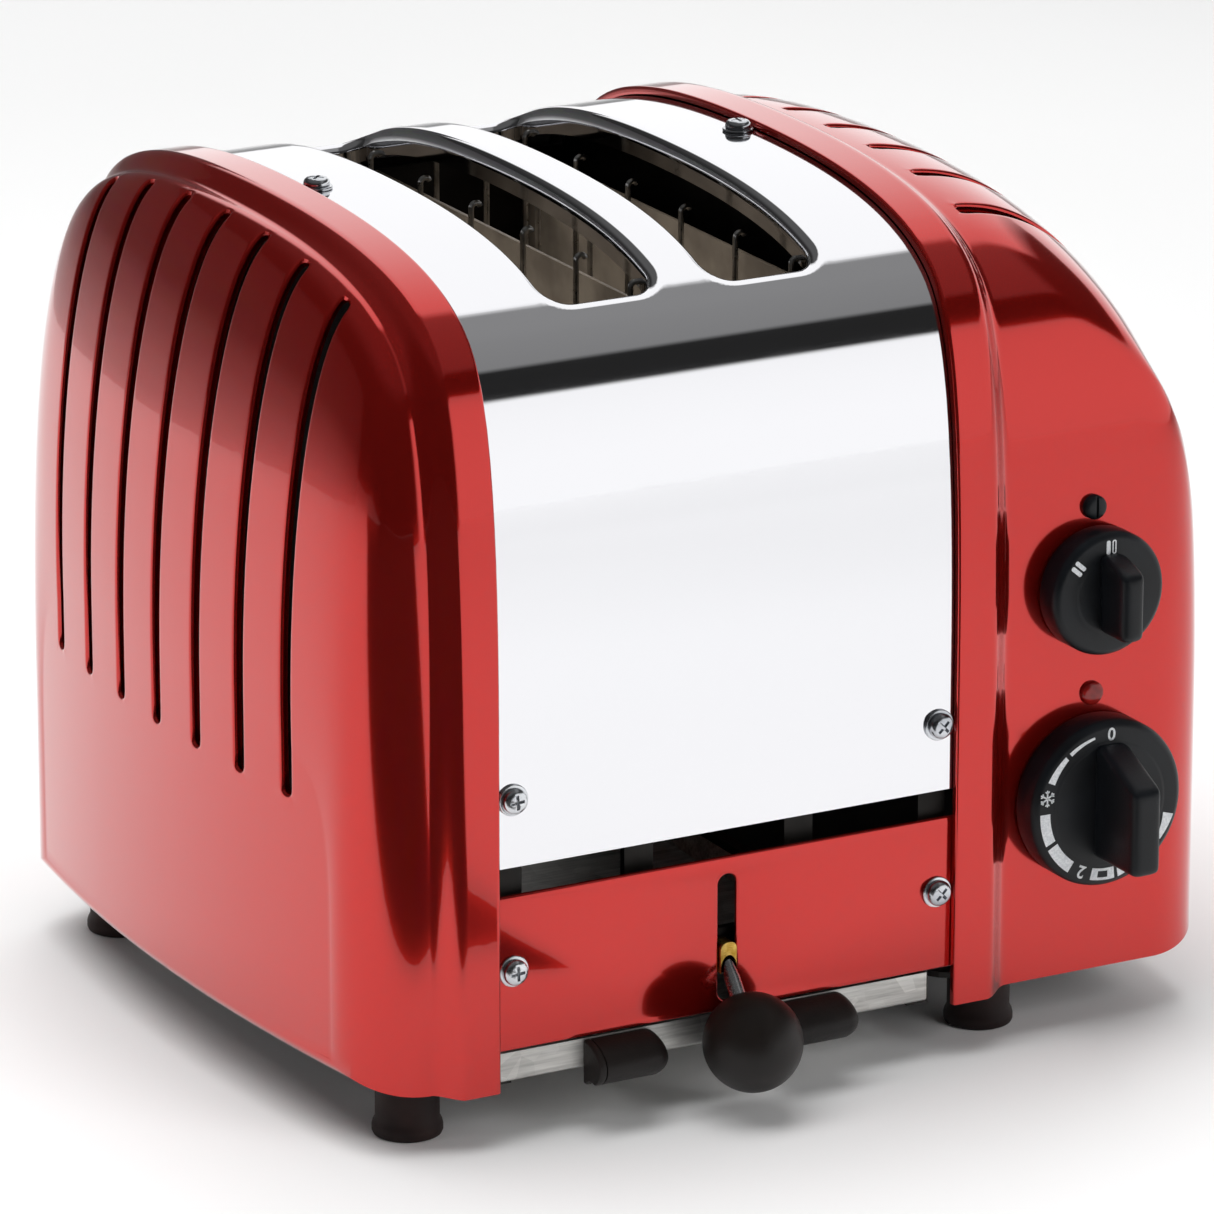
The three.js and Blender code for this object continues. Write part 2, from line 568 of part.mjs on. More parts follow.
function addTray() {
  const { bottom, top, sheet, length, width } = tray;
  const front = coverFaceY + gap;
  const [x0, x1] = [trayLeft, trayLeft + width];
  const outer = block(x0, x1, front, front + length, bottom, top);
  const inner = block(x0 + sheet, x1 - sheet, front + sheet, front + length - sheet, bottom + sheet, top + 5);
  addPart('crumb_tray', cut(outer, inner), dullSteel());
  const middle = (bottom + top) / 2;
  for (const [name, side] of [['tray_grip_left', -1], ['tray_grip_right', 1]]) {
    const x = trayLeft + width / 2 + side * grip.spread / 2;
    const profile = new THREE.Shape();
    profile.moveTo(front - gap, middle + 3.5);
    profile.absellipse(front - gap, middle + 3.5 - grip.height / 2, grip.reach, grip.height / 2, Math.PI / 2, 1.5 * Math.PI);
    profile.lineTo(front - gap, middle + 3.5 - grip.height);
    addPart(name, sweptAlongX(profile, x - grip.width / 2, x + grip.width / 2, 5), blackPlastic());
  }
}

function addTrayRails() {
  for (const [name, edge, side] of [['left_tray_rail', trayLeft, 1], ['right_tray_rail', trayLeft + tray.width, -1]]) {
    const shape = new THREE.Shape();
    const wallX = edge - side * (0.5 + rail.sheet);
    shape.moveTo(wallX, rail.bottom);
    shape.lineTo(wallX + side * rail.width, rail.bottom);
    shape.lineTo(wallX + side * rail.width, rail.bottom + rail.sheet - 0.1);
    shape.lineTo(wallX + side * rail.sheet, rail.bottom + rail.sheet - 0.1);
    shape.lineTo(wallX + side * rail.sheet, rail.top);
    shape.lineTo(wallX, rail.top);
    const back = halfDepth - cover.recess - lowerPanel.sheet - 1;
    addPart(name, sweptAlongY(shape, -back, back), aluminisedSteel());
  }
}

// ---- controls ----

function knobGeometry(knob, z) {
  const back = capFaceY - gap;
  const { radius, thick, bevel } = knob;
  const disc = turned([
    [0, 0], [radius - 0.5, 0], [radius, 0.5], [radius, thick - bevel], [radius - bevel, thick], [0, thick],
  ], [controlX, back, z], [0, -1, 0], 32);
  const face = back - thick;
  const profile = new THREE.Shape();
  profile.moveTo(face + 1, z - knob.gripLow);
  profile.lineTo(face + 1, z + knob.gripTop);
  profile.lineTo(face - knob.gripOut, z + knob.gripTopOut);
  profile.lineTo(face - knob.gripOut, z - knob.gripLow + 1);
  const half = knob.gripWidth / 2;
  const bar = sweptAlongX(profile, controlX - half, controlX + half);
  const pointed = roundedRectangle(controlX, z, knob.gripWidth, 2 * knob.gripTop, half - 0.5);
  const rounded = sweptAlongY(pointed, face - knob.gripOut - 5, face + 1.5, 4);
  const gripSolid = toSolid(bar).intersect(toSolid(rounded));
  const bore = toSolid(rod([controlX, back + 2, z], [controlX, back - thick + 2, z], controls.shaft + 0.15, 16));
  return toGeometry(toSolid(disc).add(gripSolid).subtract(bore));
}

function addControl(name, knob, z, body) {
  addPart(`${name}_knob`, knobGeometry(knob, z), blackPlastic());
  const bodyFront = capFaceY + capCommon.wall + 1;
  const shaftEnd = bodyFront + 4;
  addPart(`${name}_shaft`, rod([controlX, capFaceY - gap - knob.thick + 2.5, z], [controlX, shaftEnd, z], controls.shaft, 16), zincSteel());
  const mount = block(
    controlX - body.width / 2, controlX + body.width / 2, bodyFront, bodyFront + body.depth,
    z - body.height / 2, z + body.height / 2);
  const socket = rod([controlX, bodyFront - 2, z], [controlX, shaftEnd + gap, z], controls.shaft + gap, 16);
  addPart(body.name, cut(mount, socket), body.material());
}

function addControls() {
  addControl('timer', timerKnob, controls.timerZ, {
    name: 'timer_movement', width: 46, height: 44, depth: 32, material: zincSteel,
  });
  addControl('selector', selectorKnob, controls.selectorZ, {
    name: 'selector_switch', width: 34, height: 30, depth: 26, material: greyPlastic,
  });
  const button = (length) => [
    [0, -length], [controls.lens - 0.4, -length], [controls.lens, -length + 0.5], [controls.lens, 0.9], [controls.lens - 0.5, 1.5], [0, 1.6],
  ];
  addPart('neon_lens', turned(button(4.5), [controlX, capFaceY, controls.lensZ], [0, -1, 0], 20), redLens());
  addPart('pointer_plug', turned(button(4.5), [controlX, capFaceY, controls.plugZ], [0, -1, 0], 20), blackPlastic());
}

function addWiring() {
  const { radius, flange, flangeThick, out, hole, x, z } = gland;
  const outside = halfDepth - capCommon.stepDrop;
  const length = capCommon.wall + 6;
  const profile = [
    [hole, -length], [radius, -length], [radius, gap], [flange, gap], [flange, flangeThick],
    [radius, out], [hole, out], [hole, -length],
  ];
  addPart('cord_gland', turned(profile, [x, outside, z], [0, 1, 0], 24), blackPlastic());
  const floor = foot.top + gap + 2;
  addPart('terminal_block', block(x - 18, x + 18, 40, 56, floor, floor + 16), greyPlastic());
}

addEndCaps();
addCover();
addLowerPanels();
addScrews();
addSidePlates();
addCrossPlates();
addElements();
addGuards();
addBasePlates();
addFeet();
addCarriage();
addTray();
addTrayRails();
addControls();
addWiring();

export default toaster;
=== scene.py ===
import json
import math

import bpy
import numpy as np
from mathutils import Matrix, Vector


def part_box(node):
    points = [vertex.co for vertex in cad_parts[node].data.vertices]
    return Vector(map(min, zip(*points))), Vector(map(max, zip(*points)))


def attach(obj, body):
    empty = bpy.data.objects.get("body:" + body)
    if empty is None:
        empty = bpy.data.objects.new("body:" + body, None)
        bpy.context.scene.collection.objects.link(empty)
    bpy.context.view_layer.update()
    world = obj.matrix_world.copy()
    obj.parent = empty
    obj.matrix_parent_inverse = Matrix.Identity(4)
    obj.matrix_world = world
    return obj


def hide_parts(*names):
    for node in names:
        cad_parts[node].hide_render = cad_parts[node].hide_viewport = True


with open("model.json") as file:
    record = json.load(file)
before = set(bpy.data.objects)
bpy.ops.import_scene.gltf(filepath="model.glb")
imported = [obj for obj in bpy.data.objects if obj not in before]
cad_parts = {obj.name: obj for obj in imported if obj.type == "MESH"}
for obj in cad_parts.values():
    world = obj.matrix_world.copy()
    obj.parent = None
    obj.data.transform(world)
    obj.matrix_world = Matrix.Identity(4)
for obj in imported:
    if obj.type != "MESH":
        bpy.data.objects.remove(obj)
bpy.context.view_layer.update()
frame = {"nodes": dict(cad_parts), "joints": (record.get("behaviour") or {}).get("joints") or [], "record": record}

mm = 0.001

# where things are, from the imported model

leftLow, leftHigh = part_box("left_end_cap")
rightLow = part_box("right_end_cap")[0]
bayLeft = leftHigh.x / mm
bayRight = rightLow.x / mm
bayMiddle = (bayLeft + bayRight) / 2
middleY = (leftLow.y + leftHigh.y) / 2 / mm
halfDepth = (leftHigh.y - leftLow.y) / 2 / mm
topZ = leftHigh.z / mm
bodyOf = {node: body for body, nodes in frame["record"]["behaviour"]["bodies"].items() for node in nodes}


def boxMiddle(node):
    low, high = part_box(node)
    return (low + high) / 2 / mm


# small helpers

def letGo():
    if bpy.context.object and bpy.context.object.mode != "OBJECT":
        bpy.ops.object.mode_set(mode="OBJECT")
    bpy.ops.object.select_all(action="DESELECT")


def takeUp(piece):
    letGo()
    piece.select_set(True)
    bpy.context.view_layer.objects.active = piece


def named(name):
    piece = bpy.context.object
    piece.name = name
    piece.data.name = name
    return piece


def settle(piece):
    takeUp(piece)
    bpy.ops.object.transform_apply(location=True, rotation=True, scale=True)
    return piece


def selectWhere(piece, kind, test):
    # leaves the piece in edit mode with only the wanted parts taken
    takeUp(piece)
    bpy.ops.object.mode_set(mode="EDIT")
    bpy.ops.mesh.select_mode(type=kind)
    bpy.ops.mesh.select_all(action="DESELECT")
    bpy.ops.object.mode_set(mode="OBJECT")
    mesh = piece.data
    if kind == "VERT":
        for vertex in mesh.vertices:
            vertex.select = bool(test(vertex))
    elif kind == "FACE":
        for face in mesh.polygons:
            face.select = bool(test(face))
    else:
        for edge in mesh.edges:
            a, b = (mesh.vertices[i].co for i in edge.vertices)
            edge.select = bool(test(a, b))
    bpy.ops.object.mode_set(mode="EDIT")


def openMesh(piece, kind=None):
    # edit mode with all of the piece taken
    takeUp(piece)
    bpy.ops.object.mode_set(mode="EDIT")
    if kind:
        bpy.ops.mesh.select_mode(type=kind)
    bpy.ops.mesh.select_all(action="SELECT")


def closeMesh():
    bpy.ops.object.mode_set(mode="OBJECT")


def turnOutwards(piece, chosen, direction, merge=0):
    # the chosen faces of an open sheet end up looking in the direction
    openMesh(piece, "VERT")
    if merge:
        bpy.ops.mesh.remove_doubles(threshold=merge)
    bpy.ops.mesh.normals_make_consistent(inside=False)
    closeMesh()
    if sum(f.normal @ direction for f in piece.data.polygons if chosen(f)) < 0:
        openMesh(piece)
        bpy.ops.mesh.flip_normals()
        closeMesh()


def finishModifier(piece, kind, **settings):
    takeUp(piece)
    modifier = piece.modifiers.new(kind.title(), kind)
    for key, value in settings.items():
        setattr(modifier, key, value)
    bpy.ops.object.modifier_apply(modifier=modifier.name)


def roundEdges(piece, width, segments=3, angle=30):
    finishModifier(piece, "BEVEL", width=width * mm, segments=segments, limit_method="ANGLE",
                   angle_limit=math.radians(angle), harden_normals=False)


def smooth(piece, angle=35):
    takeUp(piece)
    bpy.ops.object.shade_smooth_by_angle(angle=math.radians(angle))


def copyOf(piece, name, matrix=None):
    twin = piece.copy()
    twin.data = piece.data.copy()
    twin.name = name
    twin.data.name = name
    bpy.context.collection.objects.link(twin)
    if matrix is not None:
        twin.data.transform(matrix)
    return twin


def joined(name, pieces):
    letGo()
    for piece in pieces:
        piece.select_set(True)
    bpy.context.view_layer.objects.active = pieces[0]
    bpy.ops.object.join()
    return named(name)


def cutAway(piece, tool):
    finishModifier(piece, "BOOLEAN", operation="DIFFERENCE", object=tool, solver="EXACT")
    bpy.data.objects.remove(tool)


def finished(piece, node, material, replaces=None):
    piece.data.materials.clear()
    piece.data.materials.append(material)
    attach(piece, bodyOf[node])
    for name in replaces if replaces is not None else [node]:
        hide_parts(name)
    return piece


def barPiece(name, low, high):
    size = [b - a for a, b in zip(low, high)]
    centre = [(a + b) / 2 for a, b in zip(low, high)]
    letGo()
    bpy.ops.mesh.primitive_cube_add(size=mm, location=[c * mm for c in centre])
    piece = named(name)
    piece.scale = size
    return settle(piece)


def rodPiece(name, start, end, radius, sides=24):
    a, b = Vector(start) * mm, Vector(end) * mm
    letGo()
    bpy.ops.mesh.primitive_cylinder_add(vertices=sides, radius=radius * mm, depth=(b - a).length,
                                        location=(a + b) / 2)
    piece = named(name)
    piece.rotation_euler = (b - a).to_track_quat("Z", "Y").to_euler()
    return settle(piece)


def turnedPiece(name, profile, sides=64):
    # a circle drawn up through the radii and heights of the profile, as on a lathe, axis +Z
    radius, height = profile[0]
    letGo()
    bpy.ops.mesh.primitive_circle_add(vertices=sides, radius=radius * mm, location=(0, 0, height * mm))
    piece = settle(named(name))
    openMesh(piece)
    for nextRadius, nextHeight in profile[1:]:
        bpy.ops.mesh.extrude_edges_move(TRANSFORM_OT_translate={"value": (0, 0, (nextHeight - height) * mm)})
        grow = nextRadius / radius
        bpy.ops.transform.resize(value=(grow, grow, 1), center_override=(0, 0, nextHeight * mm))
        radius, height = nextRadius, nextHeight
    closeMesh()
    finishClosing(piece)
    return piece


def finishClosing(piece):
    openMesh(piece, "VERT")
    bpy.ops.mesh.remove_doubles(threshold=1e-6)
    bpy.ops.mesh.select_all(action="DESELECT")
    bpy.ops.mesh.select_non_manifold()
    bpy.ops.mesh.edge_face_add()
    bpy.ops.mesh.select_all(action="SELECT")
    bpy.ops.mesh.normals_make_consistent(inside=False)
    closeMesh()


def laidAlong(direction, base):
    # turns a piece made along +Z to a direction and puts its foot at base
    turn = Vector(direction).to_track_quat("Z", "X").to_matrix().to_4x4()
    return Matrix.Translation(Vector(base) * mm) @ turn


def wrapGrid(name, points, keep=None):
    # a grid primitive laid over an array of points in millimetres
    columns, rows = points.shape[:2]
    letGo()
    bpy.ops.mesh.primitive_grid_add(x_subdivisions=columns - 1, y_subdivisions=rows - 1, size=1)
    piece = named(name)
    mesh = piece.data
    flat = np.empty(len(mesh.vertices) * 3)
    mesh.vertices.foreach_get("co", flat)
    flat = flat.reshape(-1, 3)
    i = np.rint((flat[:, 0] + 0.5) * (columns - 1)).astype(int)
    j = np.rint((flat[:, 1] + 0.5) * (rows - 1)).astype(int)
    mesh.vertices.foreach_set("co", (points[i, j] * mm).ravel())
    mesh.update()
    if keep is not None:
        selectWhere(piece, "FACE", lambda face: not keep[min(i[v] for v in face.vertices),
                                                         min(j[v] for v in face.vertices)])
        bpy.ops.mesh.delete(type="FACE")
        closeMesh()
    return piece


def sheetNormals(points, towards):
    across, down = np.gradient(points, axis=0), np.gradient(points, axis=1)
    normals = np.cross(across, down)
    normals /= np.linalg.norm(normals, axis=2, keepdims=True) + 1e-12
    middle = normals[points.shape[0] // 2, points.shape[1] // 2]
    return normals if middle @ towards > 0 else -normals


# camera first

cameraView = {"eye": (-950.19, -1745.98, 740.45), "along": (0.45249, 0.83732, -0.30683), "lens": 242.8}

bpy.ops.object.camera_add(location=[v * mm for v in cameraView["eye"]])
camera = bpy.context.object
camera.rotation_mode = "QUATERNION"
camera.rotation_quaternion = Vector(cameraView["along"]).to_track_quat("-Z", "Y")
camera.data.lens = cameraView["lens"]
camera.data.sensor_width = 36
camera.data.clip_end = 50
bpy.context.scene.camera = camera
print("camera set")


# materials

def linear(colour):
    # sRGB hex to linear light; a bare number is a grey that is linear already
    if not isinstance(colour, str):
        return (colour, colour, colour, 1)
    values = [int(colour[k:k + 2], 16) / 255 for k in (1, 3, 5)]
    return tuple(v / 12.92 if v <= 0.04045 else ((v + 0.055) / 1.055) ** 2.4 for v in values) + (1,)


def addNode(tree, kind, settings=None, links=None, stops=None, **attributes):
    # links name a socket, or a node for its first socket; stops are the places and colours of a ramp
    node = tree.nodes.new("ShaderNode" + kind)
    for key, value in attributes.items():
        setattr(node, key, value)
    for key, value in (settings or {}).items():
        node.inputs[key].default_value = value
    for key, source in (links or {}).items():
        tree.links.new(source.outputs[0] if hasattr(source, "outputs") else source, node.inputs[key])
    if stops:
        elements = node.color_ramp.elements
        elements[0].position, elements[1].position = stops[0][0], stops[-1][0]
        elements[0].color, elements[1].color = linear(stops[0][1]), linear(stops[-1][1])
        for position, colour in stops[1:-1]:
            elements.new(position).color = linear(colour)
    return node


def startMaterial(name, **surface):
    material = bpy.data.materials.new(name)
    material.use_nodes = True
    tree = material.node_tree
    for key, value in surface.items():
        tree.nodes["Principled BSDF"].inputs[key.replace("_", " ")].default_value = value
    return material, tree, addNode(tree, "TexCoord").outputs["Object"]


def feed(material, sources):
    tree = material.node_tree
    for key, source in sources.items():
        socket = source.outputs[0] if hasattr(source, "outputs") else source
        tree.links.new(socket, tree.nodes["Principled BSDF"].inputs[key])
    return material


def perMetre(millimetres):
    # pattern scale for one feature of that size
    return 1000 / millimetres


def candyLacquer():
    # Translucent red lacquer over a metallic base on cast aluminium: a deep red under a hard clear coat.
    material, tree, place = startMaterial("Candy red lacquer on cast aluminium", Metallic=0.85, IOR=1.5,
                                          Coat_Weight=1.0, Coat_Roughness=0.02, Coat_IOR=1.45)
    flake = addNode(tree, "TexNoise", {"Scale": perMetre(0.5), "Detail": 2.0}, {"Vector": place})
    cloud = addNode(tree, "TexNoise", {"Scale": perMetre(45), "Detail": 1.0}, {"Vector": place})
    both = addNode(tree, "Math", {1: 2.5}, {0: cloud, 2: flake}, operation="MULTIPLY_ADD")
    tone = addNode(tree, "ValToRGB", links={"Fac": both}, stops=((1.0, "#bf1e17"), (1.0, "#c9251d")))
    gloss = addNode(tree, "MapRange", {"To Min": 0.12, "To Max": 0.16}, {"Value": flake})
    peel = addNode(tree, "TexNoise", {"Scale": perMetre(3.5), "Detail": 1.0}, {"Vector": place})
    bump = addNode(tree, "Bump", {"Strength": 0.05, "Distance": 0.0001}, {"Height": peel})
    return feed(material, {"Base Color": tone, "Roughness": gloss, "Normal": bump, "Coat Normal": bump})


def polishedStainless():
    # Buffed stainless sheet: mirror reflections with a slight wave and the finest polishing lines.
    material, tree, place = startMaterial("Mirror polished stainless steel", Metallic=1.0,
                                          Base_Color=linear("#e9e9ec"))
    stretch = addNode(tree, "Mapping", {"Scale": (0.04, 1.0, 1.0)}, {"Vector": place})
    lines = addNode(tree, "TexNoise", {"Scale": perMetre(0.6), "Detail": 3.0}, {"Vector": stretch})
    gloss = addNode(tree, "MapRange", {"To Min": 0.035, "To Max": 0.085}, {"Value": lines})
    wave = addNode(tree, "TexNoise", {"Scale": perMetre(60), "Detail": 0.0}, {"Vector": place})
    bump = addNode(tree, "Bump", {"Strength": 0.12, "Distance": 0.0006}, {"Height": wave})
    return feed(material, {"Roughness": gloss, "Normal": bump})


def drawnSteel(name, colours, roughness, grain, metallic=1.0):
    # Steel with a dull drawn or plated surface: cloudy shine, tiny pits.
    material, tree, place = startMaterial(name, Metallic=metallic)
    cloud = addNode(tree, "TexNoise", {"Scale": perMetre(grain * 8), "Detail": 3.0}, {"Vector": place})
    pits = addNode(tree, "TexNoise", {"Scale": perMetre(grain), "Detail": 2.0}, {"Vector": place})
    tone = addNode(tree, "ValToRGB", links={"Fac": cloud}, stops=((0.35, colours[0]), (0.65, colours[1])))
    gloss = addNode(tree, "MapRange", {"To Min": roughness - 0.08, "To Max": roughness + 0.08}, {"Value": pits})
    bump = addNode(tree, "Bump", {"Strength": 0.15, "Distance": 0.00005}, {"Height": pits})
    return feed(material, {"Base Color": tone, "Roughness": gloss, "Normal": bump})


def galvanisedSheet():
    # Hot-dip galvanised sheet: grey zinc spangle, long rub marks from sliding.
    material, tree, place = startMaterial("Galvanised steel sheet", Metallic=0.9)
    spangle = addNode(tree, "TexVoronoi", {"Scale": perMetre(5), "Randomness": 1.0}, {"Vector": place})
    tint = addNode(tree, "SeparateColor", links={"Color": spangle.outputs["Color"]})
    stretch = addNode(tree, "Mapping", {"Scale": (0.06, 1.0, 1.0)}, {"Vector": place})
    rubs = addNode(tree, "TexNoise", {"Scale": perMetre(0.8), "Detail": 3.0}, {"Vector": stretch})
    both = addNode(tree, "Math", {1: 0.25}, {0: tint, 2: rubs}, operation="MULTIPLY_ADD")
    tone = addNode(tree, "ValToRGB", links={"Fac": both}, stops=((0.35, "#a6a5a2"), (0.85, "#d6d5d1")))
    gloss = addNode(tree, "MapRange", {"To Min": 0.26, "To Max": 0.5}, {"Value": both})
    bump = addNode(tree, "Bump", {"Strength": 0.2, "Distance": 0.00005}, {"Height": rubs})
    return feed(material, {"Base Color": tone, "Roughness": gloss, "Normal": bump})


def mouldedPlastic(name, colours, roughness, grit, depth):
    # Moulded plastic or rubber with a fine spark-eroded texture that softens its shine.
    material, tree, place = startMaterial(name, IOR=1.5, Specular_IOR_Level=0.32)
    grain = addNode(tree, "TexNoise", {"Scale": perMetre(grit), "Detail": 2.0}, {"Vector": place})
    cloud = addNode(tree, "TexNoise", {"Scale": perMetre(12), "Detail": 2.0}, {"Vector": place})
    tone = addNode(tree, "ValToRGB", links={"Fac": cloud}, stops=((0.35, colours[0]), (0.65, colours[1])))
    gloss = addNode(tree, "MapRange", {"To Min": roughness - 0.07, "To Max": roughness + 0.07}, {"Value": grain})
    bump = addNode(tree, "Bump", {"Strength": 0.35, "Distance": depth}, {"Height": grain})
    return feed(material, {"Base Color": tone, "Roughness": gloss, "Normal": bump})


def machinedBrass():
    # Machined brass: warm yellow, a little tarnish, cutter lines.
    material, tree, place = startMaterial("Machined brass", Metallic=1.0)
    tarnish = addNode(tree, "TexNoise", {"Scale": perMetre(2.5), "Detail": 3.0}, {"Vector": place})
    tone = addNode(tree, "ValToRGB", links={"Fac": tarnish}, stops=((0.35, "#a8812f"), (0.65, "#d9b765")))
    cutter = addNode(tree, "TexWave", {"Scale": perMetre(1.6), "Distortion": 0.6}, {"Vector": place},
                     bands_direction="Z")
    gloss = addNode(tree, "MapRange", {"To Min": 0.26, "To Max": 0.4}, {"Value": cutter.outputs["Fac"]})
    return feed(material, {"Base Color": tone, "Roughness": gloss})


def micaBoard():
    # Mica board, smoke-browned: flaky sheen, mottled brown.
    material, tree, place = startMaterial("Smoke-browned mica board", IOR=1.58)
    flakes = addNode(tree, "TexVoronoi", {"Scale": perMetre(3.5)}, {"Vector": place})
    mottle = addNode(tree, "TexNoise", {"Scale": perMetre(14), "Detail": 4.0}, {"Vector": place})
    tone = addNode(tree, "ValToRGB", links={"Fac": mottle}, stops=((0.35, "#8a7d6e"), (0.65, "#ab9c8a")))
    gloss = addNode(tree, "MapRange", {"To Min": 0.35, "To Max": 0.6}, {"Value": flakes.outputs["Distance"]})
    return feed(material, {"Base Color": tone, "Roughness": gloss})


def printedWhite():
    # Pad-printed white ink: flat, very slightly uneven cover.
    material, tree, place = startMaterial("Pad-printed white ink", Roughness=0.5)
    cover = addNode(tree, "TexNoise", {"Scale": perMetre(0.5), "Detail": 2.0}, {"Vector": place})
    tone = addNode(tree, "ValToRGB", links={"Fac": cover}, stops=((0.35, "#c9ccd0"), (0.65, "#e2e4e6")))
    return feed(material, {"Base Color": tone})


def redLens():
    # Clear red acrylic over a dark well: deep red, smooth, its tone a little uneven.
    material, tree, place = startMaterial("Clear red acrylic", IOR=1.49, Roughness=0.12,
                                          Transmission_Weight=0.25)
    depth = addNode(tree, "TexNoise", {"Scale": perMetre(3), "Detail": 1.0}, {"Vector": place})
    tone = addNode(tree, "ValToRGB", links={"Fac": depth}, stops=((0.35, "#7d1413"), (0.65, "#a3221d")))
    return feed(material, {"Base Color": tone})


lacquer = candyLacquer()
stainless = polishedStainless()
zincPlate = drawnSteel("Bright zinc plated steel", ("#b9bcc2", "#dfe1e4"), 0.22, 1.2)
satinRod = drawnSteel("Satin ground steel rod", ("#b0b1b3", "#d2d3d4"), 0.27, 0.8)
guardWire = drawnSteel("Heat-dulled steel wire", ("#a3a29f", "#cfcecb"), 0.3, 1.0)
# near-black tones: the browned sheet darkened further as painted shade for the unlit inside of the body
shadedChassisSheet = drawnSteel("Aluminised steel sheet, browned", ("#1d1b19", "#2c2a28"), 0.5, 2.0, 0.7)
galvanised = galvanisedSheet()
knobPlastic = mouldedPlastic("Black phenolic moulding", ("#0a0c0f", "#101317"), 0.42, 0.45, 0.00008)
ballPlastic = mouldedPlastic("Black phenolic ball", ("#15110f", "#1c1715"), 0.45, 0.35, 0.00004)
gripPlastic = mouldedPlastic("Black glass-filled nylon", ("#130f0e", "#1b1614"), 0.5, 0.7, 0.00018)
footRubber = mouldedPlastic("Dark brown nitrile rubber", ("#1c1110", "#2a1b19"), 0.6, 0.5, 0.00006)
greyPlastic = mouldedPlastic("Grey heat-resistant polyester", ("#3a3b3d", "#48494b"), 0.55, 0.6, 0.00006)
brass = machinedBrass()
mica = micaBoard()
ink = printedWhite()
lens = redLens()
print("materials made")


# end caps

capForm = {
    "bandWidth": 10, "bandBottom": 14.8, "stepEnd": 17, "stepDrop": 4, "shellBottom": 16, "wall": 2.8,
    "edgeDrop": 1.8, "edgeRound": 0.8, "bottomRound": 7, "shoulderBlend": 60, "ventCount": 7, "ventPitch": 21.7,
    "ventWidth": 4, "ventBottom": 86, "ventLip": 0.8, "columnReach": 75, "edgeRows": 4, "rollRings": 90,
    "rollRows": 76, "faceRows": 8, "lowRows": 22, "sideColumns": 5, "faceTop": 104,
    "thinReach": 8.5, "thinShare": 0.6,
}
leftForm = {"side": -1, "edge": bayLeft, "width": 42, "crown": 6.5, "along": 18.5, "across": 18,
            "fullness": 2.0, "ventStart": 20}
rightForm = {"side": 1, "edge": bayRight, "width": 87, "crown": 9, "along": 17, "across": 12,
             "fullness": 2.2, "ventStart": 22}
archForm = {"springing": 111, "sideHandle": 62.7, "shoulderIn": 16.1, "shoulderDown": 16.5,
            "angle": math.radians(41), "below": 14, "above": 16.6, "dome": 0.476}


def bezier(a, b, c, d, count):
    t = np.linspace(0, 1, count)[:, None]
    return (1 - t) ** 3 * a + 3 * (1 - t) ** 2 * t * b + 3 * (1 - t) * t * t * c + t ** 3 * d


def halfArch(half, top, bottom):
    # from the top middle over the shoulder and down one side: (y, z) in millimetres
    shoulder = np.array([half - archForm["shoulderIn"], top - archForm["shoulderDown"]])
    slope = np.array([math.cos(archForm["angle"]), -math.sin(archForm["angle"])])
    spring = top - archForm["springing"]
    dome = bezier(np.array([0, top]), np.array([half * archForm["dome"], top]),
                  shoulder - slope * archForm["above"], shoulder, 120)
    side = bezier(shoulder, shoulder + slope * archForm["below"],
                  np.array([half, spring + archForm["sideHandle"]]), np.array([half, spring]), 80)
    drop = np.linspace((half, spring), (half, bottom), 30)
    return np.vstack([dome, side[1:], drop[1:]])


def eased(t):
    t = np.clip(t, 0, 1)
    return t * t * (3 - 2 * t)


def bowedOut(form, y):
    # the end face bows outwards in plan and is straight from top to bottom
    rimHalf = halfDepth - capForm["stepDrop"] - form["across"]
    return form["width"] - form["crown"] * (y / rimHalf) ** 2


def capRings(form):
    # each ring is an arch outline with its distance out from the bay at every point
    half, top = halfDepth, topZ
    rings = []
    low = capForm["bandBottom"]
    rings.append((halfArch(half - capForm["edgeDrop"], top - capForm["edgeDrop"], low), 0.0))
    for k in range(capForm["edgeRows"] + 1):
        turn = k / capForm["edgeRows"] * math.pi / 2
        inset = capForm["edgeRound"] * (1 - math.sin(turn))
        rings.append((halfArch(half - inset, top - inset, low), capForm["edgeRound"] * (1 - math.cos(turn))))
    for out in (1.2, 3, 6, 9):
        rings.append((halfArch(half, top, low), out))
    for k in range(0, 9):
        t = k / 8
        drop = capForm["stepDrop"] * eased(t)
        bottom = low + (capForm["shellBottom"] - low) * t
        out = capForm["bandWidth"] + (capForm["stepEnd"] - capForm["bandWidth"]) * t
        rings.append((halfArch(half - drop, top - drop, bottom), out))
    bandCount = len(rings)
    outerHalf, outerTop, bottom = half - capForm["stepDrop"], top - capForm["stepDrop"], capForm["shellBottom"]
    outer = halfArch(outerHalf, outerTop, bottom)
    low = bottom + capForm["bottomRound"]
    narrow = (outerHalf - form["across"]) / outerHalf
    squeeze = (capForm["faceTop"] - low) / (outerTop - bottom)
    rim = np.stack([outer[:, 0] * narrow, low + (outer[:, 1] - bottom) * squeeze], axis=1)
    rimOut = bowedOut(form, rim[:, 0])
    up = eased((outer[:, 1] - (outerTop - capForm["shoulderBlend"])) / capForm["shoulderBlend"])
    along = form["along"] + (rimOut - capForm["stepEnd"] - form["along"]) * up
    power = 2 / (2 + (form["fullness"] - 2) * up)
    for k in range(capForm["rollRings"] + 1):
        turn = k / capForm["rollRings"] * math.pi / 2
        fall, rise = max(math.cos(turn), 0) ** power, math.sin(turn) ** power
        rings.append((outer + (rim - outer) * (1 - fall)[:, None], rimOut - along * (1 - rise)))
    packed = []
    for outline, out in rings:
        packed.append((outline, np.broadcast_to(out, len(outline)).astype(float)))
    return packed, bandCount, rim


